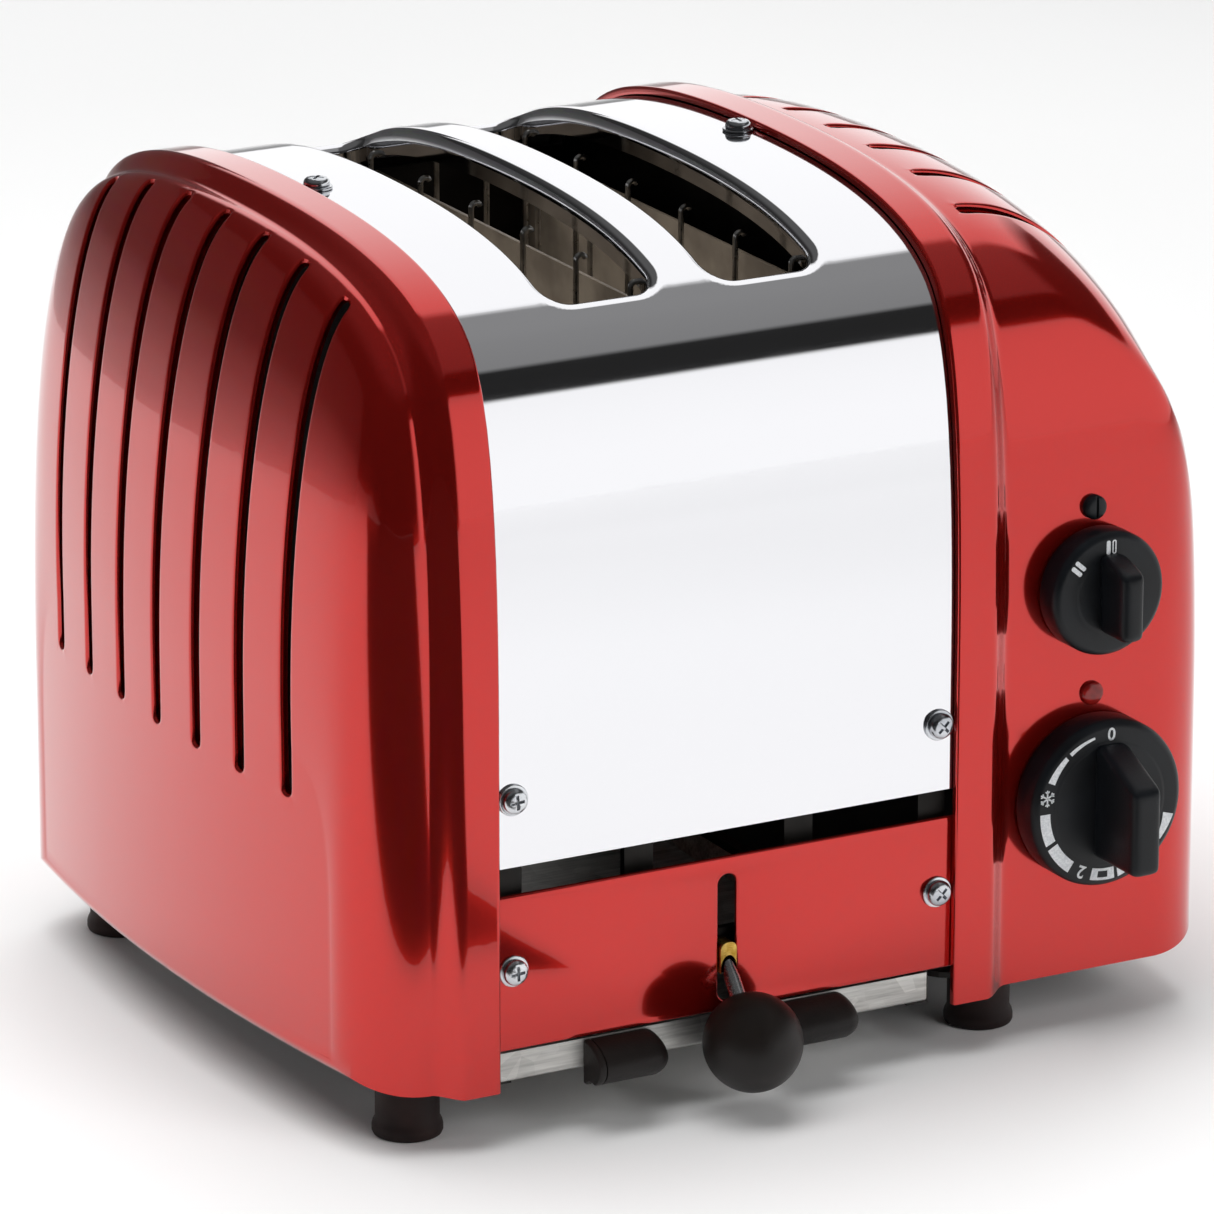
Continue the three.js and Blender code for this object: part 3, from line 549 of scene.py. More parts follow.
def resampled(path, lengths, wanted):
    return np.stack([np.interp(wanted, lengths, path[:, k]) for k in range(path.shape[1])], axis=1)


def runDown(path, bandCount, form):
    # band rings as they are, then rows to the vent start, then even rows to the rim
    head, tail = path[:bandCount], path[bandCount - 1:]
    lengths = runLengths(tail)
    start = np.interp(form["ventStart"], np.maximum.accumulate(tail[:, 0]), lengths)
    first = np.linspace(0, start, 8)[1:]
    lips = start + np.array([0.35, 1.1, 2.0])
    rest = np.linspace(lips[-1], lengths[-1], capForm["rollRows"])[1:]
    return np.vstack([head, resampled(tail, lengths, np.concatenate([first, lips, rest]))])


def ventLines():
    # distances of the grid lines on either side of a vent's middle
    half = capForm["ventWidth"] / 2
    return [0, half * 0.5, half, half + 0.12, half + 0.3, half + 0.55, half + 0.9, half + 1.6]


def columnPlaces():
    places = set()
    middle = (capForm["ventCount"] - 1) / 2
    for i in range(capForm["ventCount"]):
        centre = (i - middle) * capForm["ventPitch"]
        for step in ventLines():
            places.update((round(centre - step, 4), round(centre + step, 4)))
        if i < capForm["ventCount"] - 1:
            gapStart = centre + ventLines()[-1]
            gapEnd = centre + capForm["ventPitch"] - ventLines()[-1]
            places.update(np.round(np.linspace(gapStart, gapEnd, 7)[1:-1], 4))
    edge = middle * capForm["ventPitch"] + ventLines()[-1]
    for y in np.linspace(edge, capForm["columnReach"], 5)[1:]:
        places.update((round(y, 4), round(-y, 4)))
    return np.array(sorted(places))


def runLengths(path):
    return np.concatenate([[0], np.cumsum(np.linalg.norm(np.diff(path, axis=0), axis=1))])


def lipDepth(distance, radius):
    inside = np.clip(radius - distance, 0, radius)
    return np.where(distance < radius, radius - np.sqrt(np.maximum(radius ** 2 - inside ** 2, 0)), 0)


def capSkin(name, form):
    rings, bandCount, rim = capRings(form)
    reach = capForm["columnReach"]
    ys = columnPlaces()
    low = capForm["shellBottom"] + capForm["bottomRound"]
    half = capForm["ventWidth"] / 2
    sill = capForm["ventBottom"]
    above = [sill + 2.5, sill + 1.2, sill + 0.5]
    below = [sill, sill - 0.12, sill - 0.3, sill - 0.55, sill - 0.9, sill - 1.6]

    def faceRows(top):
        share = np.linspace(0, 1, capForm["faceRows"] + 1)[1:] ** 1.15
        upper = top + (sill + 4 - top) * share
        lower = np.linspace(below[-1], low, capForm["lowRows"] + 1)[1:]
        return np.concatenate([upper, above, below, lower])

    columns = []
    for y in ys:
        path = np.array([(np.interp(abs(y), line[:, 0], out), np.interp(abs(y), line[:, 0], line[:, 1]))
                         for line, out in rings])
        path = np.stack([path[:, 0], np.full(len(path), y), path[:, 1]], axis=1)
        roll = runDown(path, bandCount, form)
        zs = faceRows(roll[-1, 2])
        face = np.stack([np.full(len(zs), bowedOut(form, y)), np.full(len(zs), y), zs], axis=1)
        columns.append(np.vstack([roll, face]))
    front = np.array(columns)
    rollCount = bandCount + 7 + 3 + capForm["rollRows"] - 1
    ventTopRow = bandCount + 7 - 1
    ventEndRow = rollCount + capForm["faceRows"] + len(above)

    # the sides, from the last column round to the bottom edge
    lastZs = front[-1, rollCount - 1:, 2]
    rimLength = runLengths(rim)
    rimStart = np.interp(reach, rim[:, 0], rimLength)
    wantedLength = np.interp(-lastZs, -rim[:, 1], rimLength)
    shares = (wantedLength - rimStart) / (rimLength[-1] - rimStart)
    shares[0], shares[-1] = 0, 1
    side = []
    for share in shares:
        path = []
        for line, out in rings:
            length = runLengths(line)
            begin = np.interp(reach, line[:, 0], length)
            at = begin + share * (length[-1] - begin)
            path.append([np.interp(at, length, v) for v in (out, line[:, 0], line[:, 1])])
        side.append(runDown(np.array(path), bandCount, form))
    side = np.array(side)
    extra = capForm["sideColumns"]
    inner = []
    for k, row in enumerate(side):
        target = front[-1, rollCount - 1 + k]
        start = row[-1]
        steps = np.linspace(0, 1, extra + 2)[1:, None]
        points = start + (target - start) * steps
        points[:, 0] = bowedOut(form, points[:, 1])
        inner.append(points)
    side = np.concatenate([side, np.array(inner)], axis=1)

    # the rolled bottom edge under the end face
    outerHalf = halfDepth - capForm["stepDrop"]
    narrow = 1 - form["across"] / outerHalf
    bottomRows = [r for r in range(rollCount) if side[-1, r, 2] > low - 5 and r > bandCount]
    bottom = []
    for r in bottomRows:
        corner = side[-1, r]
        flank = corner[1] + (reach - corner[1]) * np.linspace(0, 1, extra + 2)[:-1]
        line = np.concatenate([flank, ys[::-1], -flank[::-1]])
        fall = 1 - (corner[2] - capForm["shellBottom"]) / capForm["bottomRound"]
        rise = math.sqrt(max(1 - fall ** 2, 0))
        rimY = narrow * line / (1 - (1 - narrow) * (1 - fall))
        out = bowedOut(form, rimY) - form["along"] * (1 - rise)
        bottom.append(np.stack([out, line, np.full(len(line), corner[2])], axis=1))
    bottom = np.array(bottom)

    # vent corners rounded, then their lips rolled in
    middle = (capForm["ventCount"] - 1) / 2
    keep = np.ones((len(ys), front.shape[1]), bool)
    steps = np.linalg.norm(np.diff(front, axis=1), axis=2)
    travel = np.concatenate([np.zeros((len(ys), 1)), np.cumsum(steps, axis=1)], axis=1)
    distance = np.full(front.shape[:2], 9.0)
    original = front.copy()
    for i in range(capForm["ventCount"]):
        y0 = (i - middle) * capForm["ventPitch"]
        for c in np.nonzero(np.abs(ys - y0) < half + 1.7)[0]:
            dy = ys[c] - y0
            start, end = travel[c, ventTopRow], travel[c, ventEndRow]
            for r in range(ventTopRow - 7, ventEndRow + 7):
                q = travel[c, r]
                beyond = max((start + half - q) / half, (q - (end - half)) / half)
                across = dy / half
                if beyond > 0:
                    size = max(abs(across), beyond)
                    reachOut = math.hypot(across, beyond)
                    pull = 1 if size <= 1 else max(0, (1.9 - size) / 0.9)
                    factor = 1 + (size / reachOut - 1) * pull
                    newAcross, newBeyond = across * factor, beyond * factor
                    towards = 1 if q > (start + end) / 2 else -1
                    shift = (newBeyond - beyond) * half * towards
                    place = resampled(original[c], travel[c], [q + shift])[0]
                    place[1] = y0 + newAcross * half
                    front[c, r] = place
                    distance[c, r] = (math.hypot(newAcross, newBeyond) - 1) * half
                else:
                    distance[c, r] = abs(dy) - half
            if dy < half - 0.01 and dy > -half - 0.01:
                keep[c, ventTopRow:ventEndRow] = False
    normals = sheetNormals(front, np.array([1.0, 0, 0]))
    front = front - normals * lipDepth(np.clip(distance, 0, 9), capForm["ventLip"])[:, :, None]

    def placed(points):
        out = points.copy()
        out[..., 0] = form["edge"] + form["side"] * points[..., 0]
        out[..., 1] = points[..., 1] + middleY
        return out

    mirrored = side * np.array([1, -1, 1])
    parts = [
        wrapGrid(name + ".front", placed(front), keep),
        wrapGrid(name + ".near", placed(side)),
        wrapGrid(name + ".far", placed(mirrored)),
        wrapGrid(name + ".foot", placed(bottom)),
    ]
    piece = joined(name, parts)
    turnOutwards(piece, lambda f: abs(f.center.x / mm - form["edge"]) > form["width"] - 1.5,
                 Vector((form["side"], 0, 0)), 4e-6)
    group = piece.vertex_groups.new(name="wall")
    thin, thick = [], []
    for v in piece.data.vertices:
        (thin if abs(v.co.x / mm - form["edge"]) < capForm["thinReach"] else thick).append(v.index)
    group.add(thin, capForm["thinShare"], "REPLACE")
    group.add(thick, 1.0, "REPLACE")
    finishModifier(piece, "SOLIDIFY", thickness=capForm["wall"] * mm, offset=-1, vertex_group="wall",
                   thickness_vertex_group=0.0, use_rim=True)
    smooth(piece, 40)
    return piece


leftCap = finished(capSkin("cast_cap_left", leftForm), "left_end_cap", lacquer)
rightCap = finished(capSkin("cast_cap_right", rightForm), "right_end_cap", lacquer)
print("end caps made", len(leftCap.data.polygons), len(rightCap.data.polygons))


# steel cover

coverForm = {"recess": 2.1, "sheet": 0.9, "under": 6.5, "bottom": 71.9, "slotHalf": 14.8, "slotReach": 80.8,
             "corner": 6.5, "lip": 3.0, "skirt": 4.0}


def coverSkin():
    x0, x1 = bayLeft - coverForm["under"], bayRight + coverForm["under"]
    line = halfArch(halfDepth - coverForm["recess"], topZ - coverForm["recess"], coverForm["bottom"])
    slots = [boxMiddle(f"bread_rack_{k}").x for k in (1, 2)]
    flat = coverForm["slotHalf"] - coverForm["corner"]
    corner = coverForm["corner"]
    shares = [0, 0.2, 0.4, 0.6, 0.8, 1.0]
    lips = [0.15, 0.45, 0.9, 1.5, 2.2, 3.0, 4.2]
    offsets = [flat + corner * s for s in shares] + [coverForm["slotHalf"] + d for d in lips]
    xs = {round(x0, 4), round(x1, 4)}
    for x in slots:
        for d in offsets + [0, flat * 0.5]:
            xs.update((round(x - d, 4), round(x + d, 4)))
    firstEdge, lastEdge = slots[0] - offsets[-1], slots[1] + offsets[-1]
    xs.update(np.round(np.linspace(x0, firstEdge, 8), 4))
    xs.update(np.round(np.linspace(lastEdge, x1, 8), 4))
    xs.update(np.round(np.linspace(slots[0] + offsets[-1], slots[1] - offsets[-1], 4), 4))
    xs = np.array(sorted(xs))
    xs = xs[np.concatenate([[True], np.diff(xs) > 0.02])]
    flatReach = coverForm["slotReach"] - corner
    yOffsets = [flatReach + corner * s for s in shares] + [coverForm["slotReach"] + d for d in lips]
    ys = np.concatenate([np.linspace(0, flatReach, 30)[:-1], yOffsets])
    length = runLengths(line)
    begin = np.interp(ys[-1], line[:, 0], length)
    rest = np.concatenate([np.linspace(begin, begin + 45, 46)[1:], np.linspace(begin + 45, length[-1], 14)[1:]])
    halfRows = np.concatenate([
        np.stack([ys, np.interp(ys, line[:, 0], line[:, 1])], axis=1), resampled(line, length, rest)])
    rows = np.vstack([halfRows[::-1] * [-1, 1], halfRows[1:]])
    points = np.empty((len(xs), len(rows), 3))
    points[:, :, 0] = xs[:, None]
    points[:, :, 1] = rows[None, :, 0]
    points[:, :, 2] = rows[None, :, 1]
    keep = np.ones((len(xs), len(rows)), bool)
    distance = np.full(points.shape[:2], 9.0)
    for x in slots:
        for a in np.nonzero(np.abs(xs - x) < offsets[-1] + 0.1)[0]:
            for b in np.nonzero(np.abs(rows[:, 0]) < yOffsets[-1] + 0.1)[0]:
                dx, dy = xs[a] - x, rows[b, 0]
                px, py = (abs(dx) - flat) / corner, (abs(dy) - flatReach) / corner
                if px > 0 and py > 0:
                    size = max(px, py)
                    pull = 1 if size <= 1 else max(0, (1.6 - size) / 0.6)
                    factor = 1 + (size / math.hypot(px, py) - 1) * pull
                    px, py = px * factor, py * factor
                    newX = x + math.copysign(flat + px * corner, dx)
                    newY = math.copysign(flatReach + py * corner, dy)
                    points[a, b] = (newX, newY, np.interp(abs(newY), line[:, 0], line[:, 1]))
                    distance[a, b] = min(distance[a, b], (math.hypot(px, py) - 1) * corner)
                else:
                    distance[a, b] = min(distance[a, b], (max(px, py) - 1) * corner)
        inX = (xs > x - coverForm["slotHalf"] - 0.01) & (xs < x + coverForm["slotHalf"] - 0.01)
        inY = (rows[:, 0] > -coverForm["slotReach"] - 0.01) & (rows[:, 0] < coverForm["slotReach"] - 0.01)
        keep[np.ix_(inX, inY)] = False
    normals = sheetNormals(points, np.array([0, 0, 1.0]))
    points = points - normals * lipDepth(np.clip(distance, 0, 9), coverForm["lip"])[:, :, None]
    points[:, :, 1] += middleY
    piece = wrapGrid("steel_cover_skin", points, keep)
    turnOutwards(piece, lambda f: f.center.z / mm > topZ - 12, Vector((0, 0, 1)))
    counts = {}
    for face in piece.data.polygons:
        for key in face.edge_keys:
            counts[key] = counts.get(key, 0) + 1
    lone = {key for key, count in counts.items() if count == 1}

    def onSlot(a, b):
        x, y = (a.x + b.x) / 2 / mm, (a.y + b.y) / 2 / mm - middleY
        nearest = min(abs(x - s) for s in slots)
        return abs(y) < coverForm["slotReach"] + 2 and nearest < coverForm["slotHalf"] + 2

    takeUp(piece)
    bpy.ops.object.mode_set(mode="EDIT")
    bpy.ops.mesh.select_mode(type="EDGE")
    bpy.ops.mesh.select_all(action="DESELECT")
    closeMesh()
    for edge in piece.data.edges:
        a, b = (piece.data.vertices[v].co for v in edge.vertices)
        edge.select = tuple(sorted(edge.vertices)) in lone and onSlot(a, b)
    bpy.ops.object.mode_set(mode="EDIT")
    for drop in (0.6, coverForm["skirt"] - 0.6):
        bpy.ops.mesh.extrude_edges_move(TRANSFORM_OT_translate={"value": (0, 0, -drop * mm)})
    closeMesh()
    finishModifier(piece, "SOLIDIFY", thickness=coverForm["sheet"] * mm, offset=-1, use_rim=True)
    smooth(piece, 45)
    return piece


cover = finished(coverSkin(), "steel_cover", stainless)
print("cover made", len(cover.data.polygons))


# lower panels

panelForm = {"bottom": 24.6, "top": 64.6, "sheet": 1.5, "under": 6.5, "slotWidth": 5.2,
             "slotLow": 27, "slotHigh": 60, "edge": 0.5}


def lowerPanel(name, side, leverSlot):
    face = middleY + side * (halfDepth - coverForm["recess"])
    ys = sorted((face, face - side * panelForm["sheet"]))
    piece = barPiece(name, (bayLeft - panelForm["under"], ys[0], panelForm["bottom"]),
                     (bayRight + panelForm["under"], ys[1], panelForm["top"]))
    if leverSlot:
        radius = panelForm["slotWidth"] / 2
        tool = rodPiece("tool", (bayMiddle, ys[0] - 3, panelForm["slotLow"] + radius),
                        (bayMiddle, ys[1] + 3, panelForm["slotLow"] + radius), radius, 48)
        lift = (panelForm["slotHigh"] - panelForm["slotLow"] - 2 * radius) * mm
        middle = (panelForm["slotLow"] + radius) * mm
        selectWhere(tool, "VERT", lambda v: v.co.z > middle + 1e-6)
        bpy.ops.transform.translate(value=(0, 0, lift))
        closeMesh()
        cutAway(piece, tool)
    roundEdges(piece, panelForm["edge"], 3, 40)
    smooth(piece, 40)
    return piece


finished(lowerPanel("panel_front", -1, True), "front_lower_panel", lacquer)
finished(lowerPanel("panel_back", 1, False), "back_lower_panel", lacquer)
print("panels made")


# screws

screwForm = {"head": 3.3, "height": 2.2, "washer": 4.0, "washerThick": 0.7, "shank": 1.8, "crossWidth": 0.75,
             "crossReach": 1.9, "crossDepth": 1.3}


def panScrew():
    head, tall = screwForm["head"], screwForm["height"]
    base = screwForm["washerThick"]
    piece = turnedPiece("screw_master", [
        (0.4, -6), (screwForm["shank"], -6), (screwForm["shank"], 0.05), (screwForm["washer"] - 0.15, 0.05),
        (screwForm["washer"], 0.2), (screwForm["washer"], base - 0.15), (screwForm["washer"] - 0.15, base),
        (head - 0.1, base), (head, base + 0.15), (head, base + tall * 0.4), (head * 0.94, base + tall * 0.66),
        (head * 0.8, base + tall * 0.86), (head * 0.55, base + tall * 0.97), (head * 0.2, base + tall)], 40)
    top = base + tall
    reach, wide = screwForm["crossReach"], screwForm["crossWidth"] / 2
    for turn in (0, 90):
        tool = barPiece("tool", (-reach, -wide, top - screwForm["crossDepth"]), (reach, wide, top + 1))
        tool.data.transform(Matrix.Rotation(math.radians(turn + 22), 4, "Z"))
        cutAway(piece, tool)
    roundEdges(piece, 0.08, 2, 50)
    smooth(piece, 35)
    return piece


screwMaster = panScrew()
for node in [n for n in frame["nodes"] if n.startswith("screw_")]:
    spot = boxMiddle(node)
    if "_front_" in node:
        foot, direction = (spot.x, middleY - halfDepth + coverForm["recess"], spot.z), (0, -1, 0)
    elif "_back_" in node:
        foot, direction = (spot.x, middleY + halfDepth - coverForm["recess"], spot.z), (0, 1, 0)
    else:
        foot, direction = (spot.x, spot.y, topZ - coverForm["recess"]), (0, 0, 1)
    spin = Matrix.Rotation(len(node) * 0.7, 4, "Z")
    piece = copyOf(screwMaster, "pan_" + node, laidAlong(direction, foot) @ spin)
    finished(piece, node, zincPlate)
bpy.data.objects.remove(screwMaster)
print("screws made")


# feet

footForm = {"base": 8.85, "waist": 8.0, "top": 16.7, "recess": 4.0, "recessDepth": 6.0, "bore": 2.2}
base, waist = footForm["base"], footForm["waist"]
footMaster = turnedPiece("foot_master", [
    (footForm["bore"], footForm["recessDepth"]), (footForm["recess"], footForm["recessDepth"]),
    (footForm["recess"], 0.4), (footForm["recess"] + 0.4, 0), (base - 1, 0), (base - 0.3, 0.3), (base, 1),
    (base, 2.2),
    (base - 0.25, 3.2), (waist, 4.4), (waist, footForm["top"] - 1), (waist - 0.3, footForm["top"] - 0.3),
    (waist - 1, footForm["top"]), (footForm["bore"], footForm["top"]),
    (footForm["bore"], footForm["recessDepth"])], 72)
smooth(footMaster, 40)
footScrewMaster = turnedPiece("foot_screw_master", [
    (0.4, 3.7), (2.2, 3.75), (3.1, 4.3), (3.3, 4.9), (3.3, 5.7), (1.9, 5.7), (1.9, 22), (0.4, 22.3)], 32)
smooth(footScrewMaster, 40)
for corner in ("front_left", "back_left", "front_right", "back_right"):
    spot = boxMiddle("foot_" + corner)
    shift = Matrix.Translation((spot.x * mm, spot.y * mm, 0))
    finished(copyOf(footMaster, "rubber_foot_" + corner, shift), "foot_" + corner, footRubber)
    fixing = copyOf(footScrewMaster, "foot_fixing_" + corner, shift)
    finished(fixing, "foot_screw_" + corner, zincPlate)
bpy.data.objects.remove(footMaster)
bpy.data.objects.remove(footScrewMaster)
print("feet made")


# knobs

timerForm = {"step": 0.3, "radius": 21.9, "thick": 9.0, "bevel": 1.6, "plate": 16.2, "gripWidth": 8.6,
             "gripOut": 19.0, "gripTop": 16.2, "gripTopOut": 8.4, "gripLow": 13.6}
selectorForm = {"step": 0.08, "radius": 16.1, "thick": 8.0, "bevel": 1.4, "plate": 9.6, "gripWidth": 6.6,
                "gripOut": 11.8, "gripTop": 10.8, "gripTopOut": 7.5, "gripLow": 9.6}


def knobPiece(name, form, place):
    # made upright along +Z from its back face, then laid against the cap
    r, t, b = form["radius"], form["thick"], form["bevel"]
    plate, step = form["plate"], form["step"]
    disc = turnedPiece(name, [
        (3.2, 0.0), (r - 0.8, 0), (r - 0.2, 0.25), (r, 0.9), (r, t - b - 0.5), (r - 0.12, t - b),
        (r - b * 0.45, t - b * 0.42), (r - b, t - 0.12), (r - b - 0.5, t), (plate + 0.5, t),
        (plate + 0.15, t + step * 0.1), (plate - 0.2, t + step * 0.8), (plate - 0.7, t + step), (4, t + step),
        (0.3, t + step)], 128)
    # the grip bar: a block whose outer side is drawn in towards the top
    w = form["gripWidth"] / 2
    grip = barPiece(name + ".grip", (-w, -form["gripLow"], t - 1), (w, form["gripTop"], t + form["gripOut"]))
    openMesh(grip)
    bpy.ops.mesh.bisect(plane_co=(0, form["gripTopOut"] * mm, 0), plane_no=(0, 1, 0))
    closeMesh()
    selectWhere(grip, "VERT", lambda v: v.co.y > (form["gripTop"] - 0.01) * mm and v.co.z > t * mm)
    bpy.ops.transform.translate(value=(0, 0, -(form["gripOut"] - 2.2) * mm))
    closeMesh()
    # a slight taper outwards
    selectWhere(grip, "VERT", lambda v: v.co.z > (t + 2.5) * mm)
    bpy.ops.transform.resize(value=(0.96, 1, 1), center_override=(0, 0, 0))
    closeMesh()
    finishModifier(grip, "BEVEL", width=w * 0.86 * mm, segments=8, limit_method="ANGLE",
                   angle_limit=math.radians(25), profile=0.62)
    piece = joined(name, [disc, grip])
    smooth(piece, 32)
    piece.data.transform(place)
    return piece


def facing(node):
    # local +Z looks out at the front, local +Y is up the face
    low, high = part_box(node)
    centreX = (low.x + high.x) / 2
    turn = Matrix(((1, 0, 0, 0), (0, 0, -1, 0), (0, 1, 0, 0), (0, 0, 0, 1)))
    return centreX, high.y, turn


controlX, knobBack, turnOut = facing("timer_knob")
dialZ = {joint["name"]: joint["pos_m"][2] for joint in frame["joints"] if joint["name"].endswith("_turn")}
timerPlace = Matrix.Translation((controlX, knobBack, dialZ["timer_turn"])) @ turnOut
selectorPlace = Matrix.Translation((controlX, knobBack, dialZ["selector_turn"])) @ turnOut
finished(knobPiece("dial_timer", timerForm, timerPlace), "timer_knob", knobPlastic)
finished(knobPiece("dial_selector", selectorForm, selectorPlace), "selector_knob", knobPlastic)
print("knobs made")


# printed marks on the knobs

printForm = {"rise": 0.06, "numeral": 4.6, "ringIn": 16.9, "ringOut": 20.0}


def clockwise(hour, radius):
    angle = math.radians(90 - hour * 30)
    return radius * math.cos(angle), radius * math.sin(angle)


def dialPlace(hour, radius):
    # out from the dial's middle and turned to stand upright there
    x, y = clockwise(hour, radius)
    return Matrix.Translation((x * mm, y * mm, 0)) @ Matrix.Rotation(-math.radians(hour * 30), 4, "Z")


def arcMark(name, startHour, endHour, innerA, outerA, innerB=None, outerB=None, steps=24):
    # a flat strip that bends round the dial and may widen along its way
    innerB, outerB = innerB or innerA, outerB or outerA
    letGo()
    bpy.ops.mesh.primitive_grid_add(x_subdivisions=steps, y_subdivisions=1, size=1)
    piece = named(name)
    for vertex in piece.data.vertices:
        share, side = vertex.co.x + 0.5, vertex.co.y + 0.5
        hour = startHour + (endHour - startHour) * share
        inner = innerA + (innerB - innerA) * share
        outer = outerA + (outerB - outerA) * share
        x, y = clockwise(hour, inner + (outer - inner) * side)
        vertex.co = (x * mm, y * mm, 0)
    return piece


def numeralMark(name, text, hour, radius, size):
    letGo()
    bpy.ops.object.text_add()
    label = bpy.context.object
    label.data.body = text
    label.data.size = size * mm
    label.data.align_x, label.data.align_y = "CENTER", "CENTER"
    label.data.offset = 0.00008
    bpy.ops.object.convert(target="MESH")
    piece = named(name)
    piece.data.transform(dialPlace(hour, radius))
    return piece


def barMark(name, hour, radius, offset, width, height, hollow=False):
    letGo()
    bpy.ops.mesh.primitive_plane_add(size=mm)
    piece = named(name)
    piece.scale = (width, height, 1)
    settle(piece)
    openMesh(piece)
    bpy.ops.mesh.bevel(offset=width * 0.42 * mm, segments=5, affect="VERTICES")
    if hollow:
        bpy.ops.mesh.select_all(action="SELECT")
        bpy.ops.mesh.inset(thickness=0.32 * mm)
        bpy.ops.mesh.delete(type="FACE")
    closeMesh()
    piece.data.transform(dialPlace(hour, radius) @ Matrix.Translation((offset * mm, 0, 0)))
    return piece


def crystalMark(name, hour, radius, size):
    # a plain six-armed frost mark
    arms = []
    for k in range(6):
        arm = barMark("arm", 0, 0, 0, 0.42, size / 2)
        turn = Matrix.Rotation(math.radians(60 * k), 4, "Z")
        arm.data.transform(turn @ Matrix.Translation((0, size / 4 * mm, 0)))
        arms.append(arm)
        for side in (-1, 1):
            twig = barMark("twig", 0, 0, 0, 0.34, size * 0.2)
            lean = Matrix.Rotation(math.radians(45 * side), 4, "Z")
            out = Matrix.Translation((0, size * 0.3 * mm, 0))
            twig.data.transform(turn @ out @ (lean @ Matrix.Translation((0, size * 0.09 * mm, 0))))
            arms.append(twig)
    piece = joined(name, arms)
    x, y = clockwise(hour, radius)
    piece.data.transform(Matrix.Translation((x * mm, y * mm, 0)))
    return piece


def printOn(name, marks, height, place, node):
    piece = joined(name, marks)
    selectWhere(piece, "FACE", lambda f: f.normal.z < 0)
    bpy.ops.mesh.flip_normals()
    closeMesh()
    finishModifier(piece, "SOLIDIFY", thickness=printForm["rise"] * mm, offset=1, use_rim=True)
    piece.data.transform(place @ Matrix.Translation((0, 0, (height - 0.01) * mm)))
    finished(piece, node, ink, [])
    return piece


r0, r1 = printForm["ringIn"], printForm["ringOut"]
timerMarks = [
    numeralMark("zero", "0", 0.05, 18.3, printForm["numeral"]),
    arcMark("hairline", 11.55, 10.75, 18.3, 18.9, 18.1, 19.2),
    arcMark("wedgeA", 10.62, 9.85, 18.0, 19.3, 17.6, 19.7),
    crystalMark("frost", 9.45, 18.5, 4.4),
    arcMark("blockA", 9.02, 8.17, r0 + 0.2, r1),
    arcMark("blockB", 8.05, 7.2, r0, r1),
    numeralMark("two", "2", 6.83, 18.3, printForm["numeral"]),
    arcMark("blockC", 6.5, 6.3, r0, r1), arcMark("blockD", 6.0, 5.8, r0, r1),
    arcMark("blockCD1", 6.3, 6.0, r0, r0 + 0.7), arcMark("blockCD2", 6.3, 6.0, r1 - 0.7, r1),
    arcMark("wedgeB", 5.7, 4.9, r0, r1, 18.3, 18.8),
    arcMark("wedgeC", 4.25, 3.55, 18.2, 19.4, r0, r1),
]
printOn("timer_print", timerMarks, timerForm["thick"], timerPlace, "timer_knob")
selectorMarks = [
    barMark("one", 0, 12.4, -0.85, 1.15, 3.6), barMark("two", 0, 12.4, 0.85, 1.15, 3.6, True),
    barMark("three", 10.35, 12.4, -0.85, 1.15, 3.6), barMark("four", 10.35, 12.4, 0.85, 1.15, 3.6),
]
printOn("selector_print", selectorMarks, selectorForm["thick"], selectorPlace, "selector_knob")
print("dial marks made")


# lens and pointer plug

buttonForm = {"radius": 3.1, "proud": 1.6}


def buttonPiece(name, node, grooved):
    r = buttonForm["radius"]
    piece = turnedPiece(name, [(0.3, -4), (r - 0.4, -4), (r, -3.5), (r, 0.6), (r - 0.12, 0.95), (r - 0.45, 1.25),
                               (r - 1.0, 1.42), (r - 1.9, 1.52), (0.3, 1.55)], 64)
    if grooved:
        tool = barPiece("tool", (-0.35, -3.2, 0.9), (0.35, 3.2, 3))
        cutAway(piece, tool)
        roundEdges(piece, 0.1, 2, 50)
    smooth(piece, 35)
    spot = boxMiddle(node)
    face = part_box(node)[0].y + buttonForm["proud"] * mm
    piece.data.transform(Matrix.Translation((spot.x * mm, face, spot.z * mm)) @ turnOut)
    return piece


finished(buttonPiece("neon_window", "neon_lens", False), "neon_lens", lens)
finished(buttonPiece("slotted_plug", "pointer_plug", True), "pointer_plug", knobPlastic)


# lever

leverForm = {"ball": 12.5, "ballOut": 11.0, "ballZ": 20.3, "rod": 2.0, "blockZ": 38.5,
             "land": 0.972}
ballCentre = Vector((bayMiddle, middleY - halfDepth - leverForm["ballOut"], leverForm["ballZ"]))
blockLow, blockHigh = (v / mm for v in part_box("lever_block"))
rodTop = Vector((bayMiddle, blockLow.y + 1.5, leverForm["blockZ"] - 1))
toBall = (ballCentre - rodTop).normalized()

letGo()
bpy.ops.mesh.primitive_uv_sphere_add(segments=96, ring_count=64, radius=leverForm["ball"] * mm)
ball = named("grip_ball")
# a flat land and a bore where the rod goes in
neck = -toBall
landZ = leverForm["ball"] * mm * leverForm["land"]
ballPlace = Matrix.Translation(ballCentre * mm) @ neck.to_track_quat("Z", "X").to_matrix().to_4x4()
selectWhere(ball, "VERT", lambda v: v.co.z > landZ)
bpy.ops.transform.resize(value=(1, 1, 0), center_override=(0, 0, landZ))
closeMesh()
cutAway(ball, rodPiece("tool", (0, 0, 4), (0, 0, 20), leverForm["rod"] + 0.25, 32))
smooth(ball, 30)
ball.data.transform(ballPlace)
finished(ball, "lever_ball", ballPlastic)

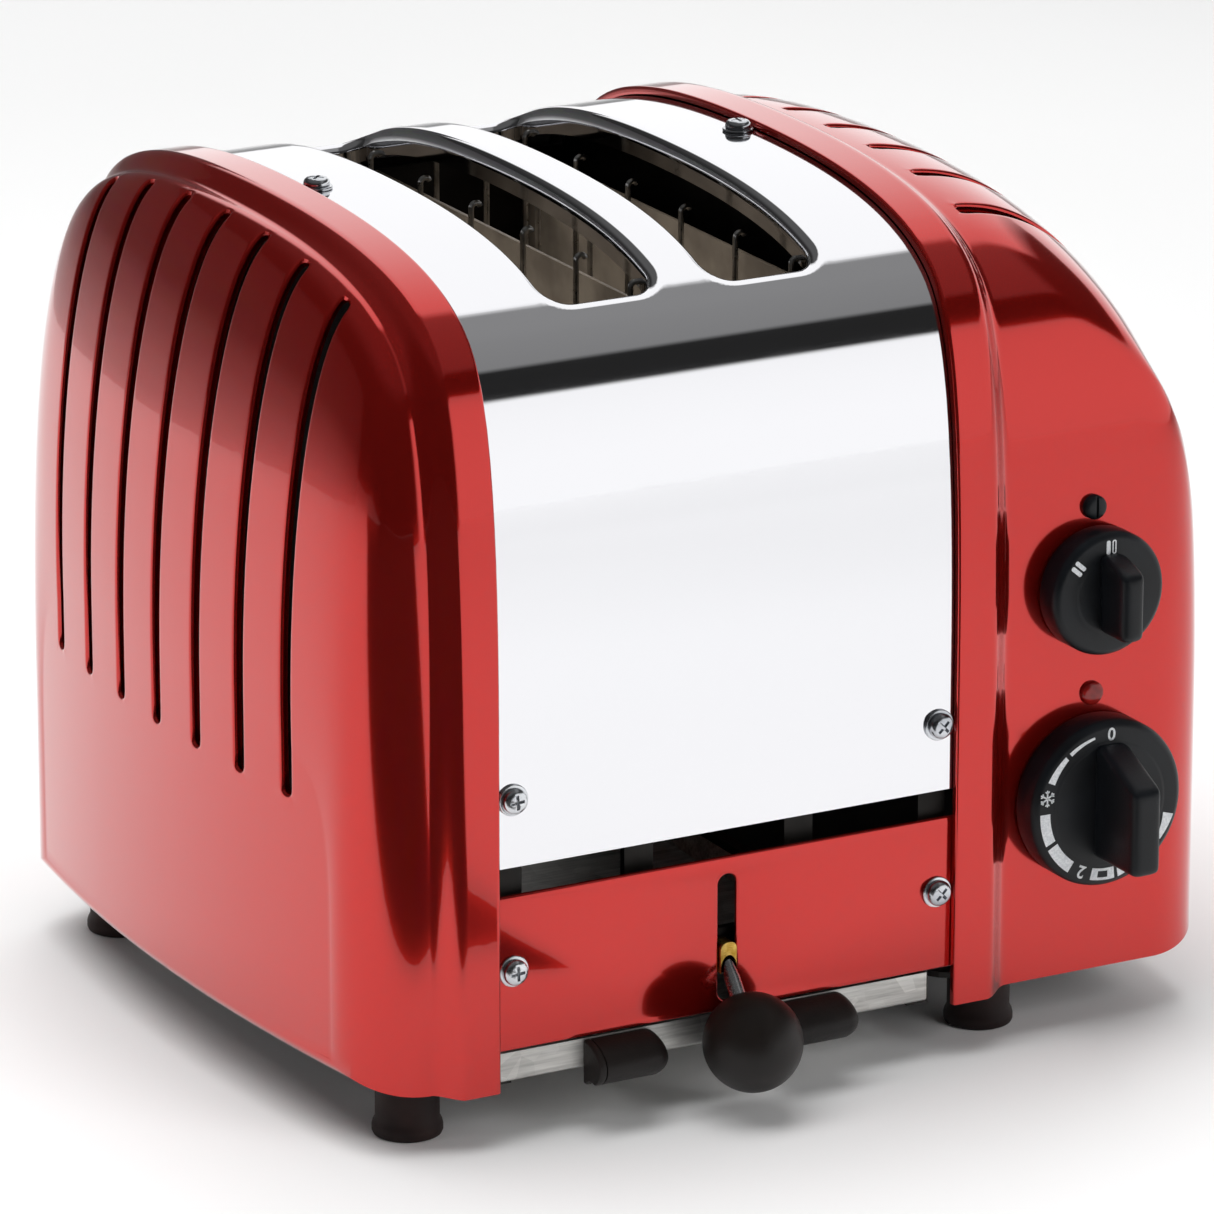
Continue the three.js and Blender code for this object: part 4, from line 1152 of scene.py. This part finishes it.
rodLength = (ballCentre - rodTop).length
pin = turnedPiece("lever_pin", [
    (0.3, 4.5), (1.9, 4.5), (leverForm["rod"], 5), (leverForm["rod"], rodLength - 5),
    (leverForm["rod"] - 0.1, rodLength - 4.4),
    (1.55, rodLength - 1.6), (1.5, rodLength + 0.6), (0.3, rodLength + 0.8)], 40)
smooth(pin, 35)
pin.data.transform(ballPlace)
finished(pin, "lever_rod", satinRod)

block = barPiece("brass_block", blockLow, blockHigh)
selectWhere(block, "EDGE", lambda a, b: min(a.z, b.z) > (blockHigh.z - 0.01) * mm and abs(a.y - b.y) > 1 * mm)
bpy.ops.mesh.bevel(offset=1.9 * mm, segments=6, affect="EDGES")
closeMesh()
cutAway(block, rodPiece("tool", rodTop - toBall * 1.2, rodTop + toBall * 12, leverForm["rod"] + 0.1, 32))
roundEdges(block, 0.18, 2, 40)
smooth(block, 35)
finished(block, "lever_block", brass)
print("lever made")


# crumb tray and its grips

trayForm = {"sheet": 0.8, "fold": 1.1, "edge": 0.2}
trayLow, trayHigh = (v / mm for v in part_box("crumb_tray"))
tray = barPiece("tray_pan", trayLow, trayHigh)
selectWhere(tray, "FACE", lambda f: f.normal.z > 0.9)
bpy.ops.mesh.inset(thickness=trayForm["sheet"] * mm)
bpy.ops.transform.translate(value=(0, 0, -(trayHigh.z - trayLow.z - trayForm["sheet"]) * mm))
closeMesh()
# the front wall's lower edge is folded round a small radius
selectWhere(tray, "EDGE", lambda a, b: max(a.z, b.z) < (trayLow.z + 0.01) * mm and abs(a.x - b.x) > 20 * mm)
bpy.ops.mesh.bevel(offset=trayForm["fold"] * mm, segments=5, affect="EDGES")
closeMesh()
roundEdges(tray, trayForm["edge"], 2, 40)
smooth(tray, 35)
finished(tray, "crumb_tray", galvanised)

gripForm = {"roundEnd": 4.2, "squareEnd": 0.6, "seamFrom": 1.6, "seamTo": 2.0, "hollow": 0.27, "edge": 0.3}


def trayGrip(name, node):
    low, high = (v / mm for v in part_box(node))
    length, tall, reach = high.x - low.x, high.z - low.z, high.y - low.y
    letGo()
    bpy.ops.mesh.primitive_cylinder_add(vertices=72, radius=0.5 * mm, depth=mm, rotation=(0, math.pi / 2, 0))
    piece = settle(named(name))
    piece.data.transform(Matrix.Diagonal((length, reach * 2, tall, 1)))
    # the free end is domed, the other end is cut square with a small step
    selectWhere(piece, "EDGE", lambda a, b: min(a.x, b.x) > (length / 2 - 0.01) * mm)
    bpy.ops.mesh.bevel(offset=gripForm["roundEnd"] * mm, segments=8, affect="EDGES")
    closeMesh()
    selectWhere(piece, "EDGE", lambda a, b: max(a.x, b.x) < (-length / 2 + 0.01) * mm)
    bpy.ops.mesh.bevel(offset=gripForm["squareEnd"] * mm, segments=3, affect="EDGES")
    closeMesh()
    openMesh(piece)
    bpy.ops.mesh.bisect(plane_co=(0, 0, 0), plane_no=(0, 1, 0), clear_outer=True, use_fill=True)
    closeMesh()
    # a moulding seam near the square end
    seam = barPiece("tool", (-length / 2 + gripForm["seamFrom"], -20, -20),
                    (-length / 2 + gripForm["seamTo"], 20, 20))
    inner = copyOf(piece, "inner", Matrix.Diagonal((1.1, 0.95, 0.95, 1)))
    cutAway(seam, inner)
    cutAway(piece, seam)
    # the hollow underneath that fingers hook into
    y, z = -reach * 0.42, -tall * 0.62
    hollow = rodPiece("tool", (-length / 2 - 1, y, z), (length / 2 - 3.5, y, z), tall * gripForm["hollow"], 48)
    cutAway(piece, hollow)
    roundEdges(piece, gripForm["edge"], 3, 45)
    smooth(piece, 35)
    middle = boxMiddle(node)
    piece.data.transform(Matrix.Translation((middle.x * mm, high.y * mm, middle.z * mm)))
    return piece


finished(trayGrip("pull_left", "tray_grip_left"), "tray_grip_left", gripPlastic)
finished(trayGrip("pull_right", "tray_grip_right"), "tray_grip_right", gripPlastic)
print("tray made")


# guard wires, boards and racks

wireForm = {"radius": 0.75, "hook": 2.6, "uprights": 6, "rails": 4, "top": 205.0}


def wirePiece(name, paths, radius):
    curve = bpy.data.curves.new(name, "CURVE")
    curve.dimensions = "3D"
    curve.bevel_depth = radius * mm
    curve.bevel_resolution = 3
    curve.use_fill_caps = True
    for path in paths:
        spline = curve.splines.new("POLY")
        spline.points.add(len(path) - 1)
        for point, place in zip(spline.points, path):
            point.co = (place[0] * mm, place[1] * mm, place[2] * mm, 1)
    piece = bpy.data.objects.new(name, curve)
    bpy.context.collection.objects.link(piece)
    takeUp(piece)
    bpy.ops.object.convert(target="MESH")
    piece = named(name)
    smooth(piece, 50)
    return piece


def guardPaths(node):
    low, high = (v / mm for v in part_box(node))
    outward = -1 if node.endswith("left") else 1
    # the uprights stand on the slot side, the rails behind them
    x = high.x - wireForm["radius"] if outward < 0 else low.x + wireForm["radius"]
    reach = 70.0
    paths = []
    for k in range(wireForm["uprights"]):
        y = middleY - reach + 2 * reach * k / (wireForm["uprights"] - 1)
        path = [(x, y, low.z + 1)]
        bend = wireForm["hook"] / 2
        stand = wireForm["top"] - bend - wireForm["radius"]
        path.append((x, y, stand - 8))
        for step in range(0, 9):
            turn = step / 8 * math.pi * 0.9
            path.append((x + outward * bend * (1 - math.cos(turn)), y, stand + bend * math.sin(turn)))
        paths.append(path)
    for k in range(wireForm["rails"]):
        z = low.z + 22 + k * (wireForm["top"] - 22 - low.z - 18) / (wireForm["rails"] - 1)
        back = x + outward * wireForm["radius"] * 1.2
        paths.append([(back, low.y + 0.8, z), (back, middleY, z - 0.4), (back, high.y - 0.8, z)])
    return paths


for node in [n for n in frame["nodes"] if n.startswith("guard_wires")]:
    grille = wirePiece("grille_" + node[12:], guardPaths(node), wireForm["radius"])
    finished(grille, node, guardWire)

boardForm = {"ribbon": 1.1, "windings": 30, "spacer": 0.9, "proud": 0.55, "foot": 6, "bare": 36}
for node in [n for n in frame["nodes"] if n.startswith("heating_element")]:
    low, high = (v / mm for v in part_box(node))
    board = barPiece("mica_" + node[16:], (low.x + boardForm["spacer"], low.y, low.z),
                     (high.x - boardForm["spacer"], high.y, high.z))
    openMesh(board)
    bpy.ops.mesh.bevel(offset=0.25 * mm, segments=2, affect="EDGES")
    closeMesh()
    ribbons = []
    for k in range(boardForm["windings"]):
        y = low.y + 8 + k * (high.y - low.y - 16) / (boardForm["windings"] - 1)
        wide = boardForm["ribbon"] / 2
        ribbon = barPiece("ribbon", (low.x + boardForm["proud"], y - wide, low.z + boardForm["foot"]),
                          (high.x - boardForm["proud"], y + wide, high.z - boardForm["bare"]))
        ribbons.append(ribbon)
    winding = joined("ribbon_" + node[16:], ribbons)
    smooth(board, 30)
    finished(board, node, mica)
    # the ribbon windings take the same near-black sheet, painted shade for the inside
    finished(winding, node, shadedChassisSheet, [])

rackForm = {"wire": 0.95, "width": 14, "length": 150, "rungs": 9, "corner": 3.0}
for k in (1, 2):
    node = f"bread_rack_{k}"
    low, high = (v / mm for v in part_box(node))
    x, z = (low.x + high.x) / 2, (low.z + high.z) / 2
    w, r = rackForm["width"] / 2, rackForm["corner"]
    y0, y1 = middleY - rackForm["length"] / 2, middleY + rackForm["length"] / 2
    loop = []
    corners = ((x + w - r, y1 - r, 0), (x - w + r, y1 - r, 90), (x - w + r, y0 + r, 180),
               (x + w - r, y0 + r, 270))
    for cx, cy, start in corners:
        for step in range(0, 7):
            turn = math.radians(start + step * 15)
            loop.append((cx + r * math.cos(turn), cy + r * math.sin(turn), z))
    loop.append(loop[0])
    paths = [loop, [(x, low.y + 0.2, z), (x, y1 - 1, z)]]
    for step in range(rackForm["rungs"]):
        y = y0 + 8 + step * (y1 - y0 - 16) / (rackForm["rungs"] - 1)
        paths.append([(x - w, y, z + 0.3), (x + w, y, z + 0.3)])
    finished(wirePiece("rack_wires_" + str(k), paths, rackForm["wire"]), node, guardWire)
print("wires, boards and racks made")


# cord gland

glandForm = {"flange": 8.5, "body": 6.5, "hole": 3.6, "out": 6.0}
glandLow, glandHigh = (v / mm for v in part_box("cord_gland"))
g = glandForm
gland = turnedPiece("gland_bush", [
    (g["hole"], -8.5), (g["body"] - 0.3, -8.5), (g["body"], -8.2), (g["body"], 0.3), (g["flange"] - 0.3, 0.3),
    (g["flange"], 0.6), (g["flange"], 1.6), (g["flange"] - 0.4, 2.0), (g["body"] + 0.3, 2.1), (g["body"], 2.4),
    (g["body"] - 0.1, 5.4), (g["body"] - 0.6, 6.0), (g["hole"] + 0.5, 6.0), (g["hole"], 5.6),
    (g["hole"], -8.5)], 64)
smooth(gland, 35)
gland.data.transform(Matrix.Translation(((glandLow.x + glandHigh.x) / 2 * mm, (glandHigh.y - g["out"]) * mm,
                                         (glandLow.z + glandHigh.z) / 2 * mm)) @ Matrix.Rotation(-math.pi / 2, 4, "X"))
finished(gland, "cord_gland", knobPlastic)


# finishes of the pieces kept from the frame

keptFinish = {
    # the chassis plates and carriage take the near-black sheet, painted shade for the inside
    "side_plate": shadedChassisSheet, "cross_plate": shadedChassisSheet, "base_plate": shadedChassisSheet, "tray_rail": shadedChassisSheet,
    "timer_movement": zincPlate, "selector_switch": greyPlastic, "terminal_block": greyPlastic,
    "carriage_frame": shadedChassisSheet, "timer_shaft": satinRod, "selector_shaft": satinRod,
}
for name, piece in frame["nodes"].items():
    for ending, material in keptFinish.items():
        if name.endswith(ending):
            for slotIndex in range(len(piece.material_slots)):
                piece.material_slots[slotIndex].material = material
print("kept pieces finished")


# floor and light

studio = {"floorSize": 14.0, "floorBack": 5.6, "key": 58, "fill": 20, "leftShare": 0.35, "white": 1.15}

letGo()
bpy.ops.mesh.primitive_plane_add(size=studio["floorSize"], location=(0, studio["floorBack"], 0))
floor = named("paper_floor")
paper, tree, place = startMaterial("White paper sweep", Roughness=0.85)
fibre = addNode(tree, "TexNoise", {"Scale": perMetre(400), "Detail": 1.0}, {"Vector": place})
tone = addNode(tree, "ValToRGB", links={"Fac": fibre}, stops=((0.35, "#f4f4f4"), (0.65, "#f8f8f8")))
feed(paper, {"Base Color": tone})
floor.data.materials.append(paper)

world = bpy.context.scene.world or bpy.data.worlds.new("studio")
bpy.context.scene.world = world
world.use_nodes = True
tree = world.node_tree
tree.nodes.clear()
# behind the toaster a white wall; a bright strip low in front, a dark room round it, a grey ceiling
directions = addNode(tree, "SeparateXYZ", links={"Vector": addNode(tree, "TexCoord").outputs["Generated"]})
ramps = {
    "room": ("Z", ((0.0, 1.15), (0.31, 1.1), (0.335, 0.02), (0.56, 0.02), (0.6, 0.24), (0.84, 0.26), (1.0, 0.3))),
    "acrossWall": ("X", ((0.1, 0.0), (0.2, 1.0), (0.66, 1.0), (0.74, 0.0))),
    "behindWall": ("Y", ((0.14, 0.0), (0.22, 1.0))),
    "leftSide": ("X", ((0.24, 1.0), (0.34, 0.0))),
    "rightSide": ("X", ((0.56, 0.0), (0.64, 1.0))),
    "leftShade": ("Z", ((0.0, 0.02), (0.5, 0.03), (0.7, 0.1), (1.0, 0.1))),
    "rightShade": ("Z", ((0.0, 1.15), (0.31, 1.05), (0.335, 0.03), (1.0, 0.06))),
}
part = {name: addNode(tree, "ValToRGB", links={"Fac": directions.outputs[axis]}, stops=stops)
        for name, (axis, stops) in ramps.items()}
wall = addNode(tree, "Math", links={0: part["acrossWall"], 1: part["behindWall"]}, operation="MULTIPLY")
dimmed = addNode(tree, "Mix", links={0: part["leftSide"], 6: part["room"], 7: part["leftShade"]}, data_type="RGBA")
shaded = addNode(tree, "Mix", links={0: part["rightSide"], 6: dimmed.outputs[2], 7: part["rightShade"]},
                 data_type="RGBA")
mixed = addNode(tree, "Mix", {7: linear(studio["white"])}, {0: wall, 6: shaded.outputs[2]}, data_type="RGBA")
background = addNode(tree, "Background", {"Strength": 1.0}, {"Color": mixed.outputs[2]})
addNode(tree, "OutputWorld", links={"Surface": background})


def softBox(name, place, target, size, power):
    letGo()
    bpy.ops.object.light_add(type="AREA", location=place)
    lamp = bpy.context.object
    lamp.name = name
    lamp.data.shape = "RECTANGLE"
    lamp.data.size, lamp.data.size_y = size
    lamp.data.energy = power
    lamp.visible_glossy = False
    lamp.rotation_euler = (Vector(target) - Vector(place)).to_track_quat("-Z", "Y").to_euler()


softBox("top_box", (-0.45, 0.2, 2.2), (0, 0, 0.1), (2.2, 2.2), studio["key"])
softBox("front_box", (0.9, -2.2, 1.3), (0, 0, 0.1), (1.2, 1.2), studio["fill"])
softBox("left_box", (-2.4, -0.2, 1.2), (0, 0, 0.1), (1.4, 1.0), studio["fill"] * studio["leftShare"])


def feltCard(name, middle, size, facing, stops):
    # a studio card that only reflections see, its shade running along its length
    letGo()
    bpy.ops.mesh.primitive_plane_add(size=1, location=middle)
    card = named(name)
    card.scale = (size[0], size[1], 1)
    card.rotation_euler = Vector(facing).to_track_quat("Z", "Y").to_euler()
    cloth, tree, place = startMaterial("Felt card", Roughness=0.95)
    nap = addNode(tree, "TexNoise", {"Scale": perMetre(30), "Detail": 1.0}, {"Vector": place})
    along = addNode(tree, "SeparateXYZ", links={"Vector": place})
    shift = addNode(tree, "Math", {1: 0.5}, {0: along.outputs["Y"]}, operation="ADD")
    run = addNode(tree, "ValToRGB", links={"Fac": shift}, stops=stops)
    soft = addNode(tree, "Mix", {0: 0.05}, {6: run, 7: nap.outputs["Color"]}, data_type="RGBA")
    feed(cloth, {"Base Color": soft.outputs[2]})
    card.data.materials.append(cloth)
    card.visible_camera = card.visible_diffuse = card.visible_shadow = card.visible_transmission = False


feltCard("far_card", (-0.9, 0.85, 0.2), (2.6, 0.9), (0.22, -0.97, 0),
         ((0.0, 0.7), (0.28, 0.6), (0.4, 0.25), (0.52, 0.06), (1.0, 0.02)))
feltCard("floor_card", (-1.31, -1.02, 0.002), (2.6, 1.6), (0, 0, 1), [(0.0, 0.004), (0.93, 0.005), (1.0, 0.3)])
bpy.context.scene.view_settings.view_transform = "Standard"
print("stage set")
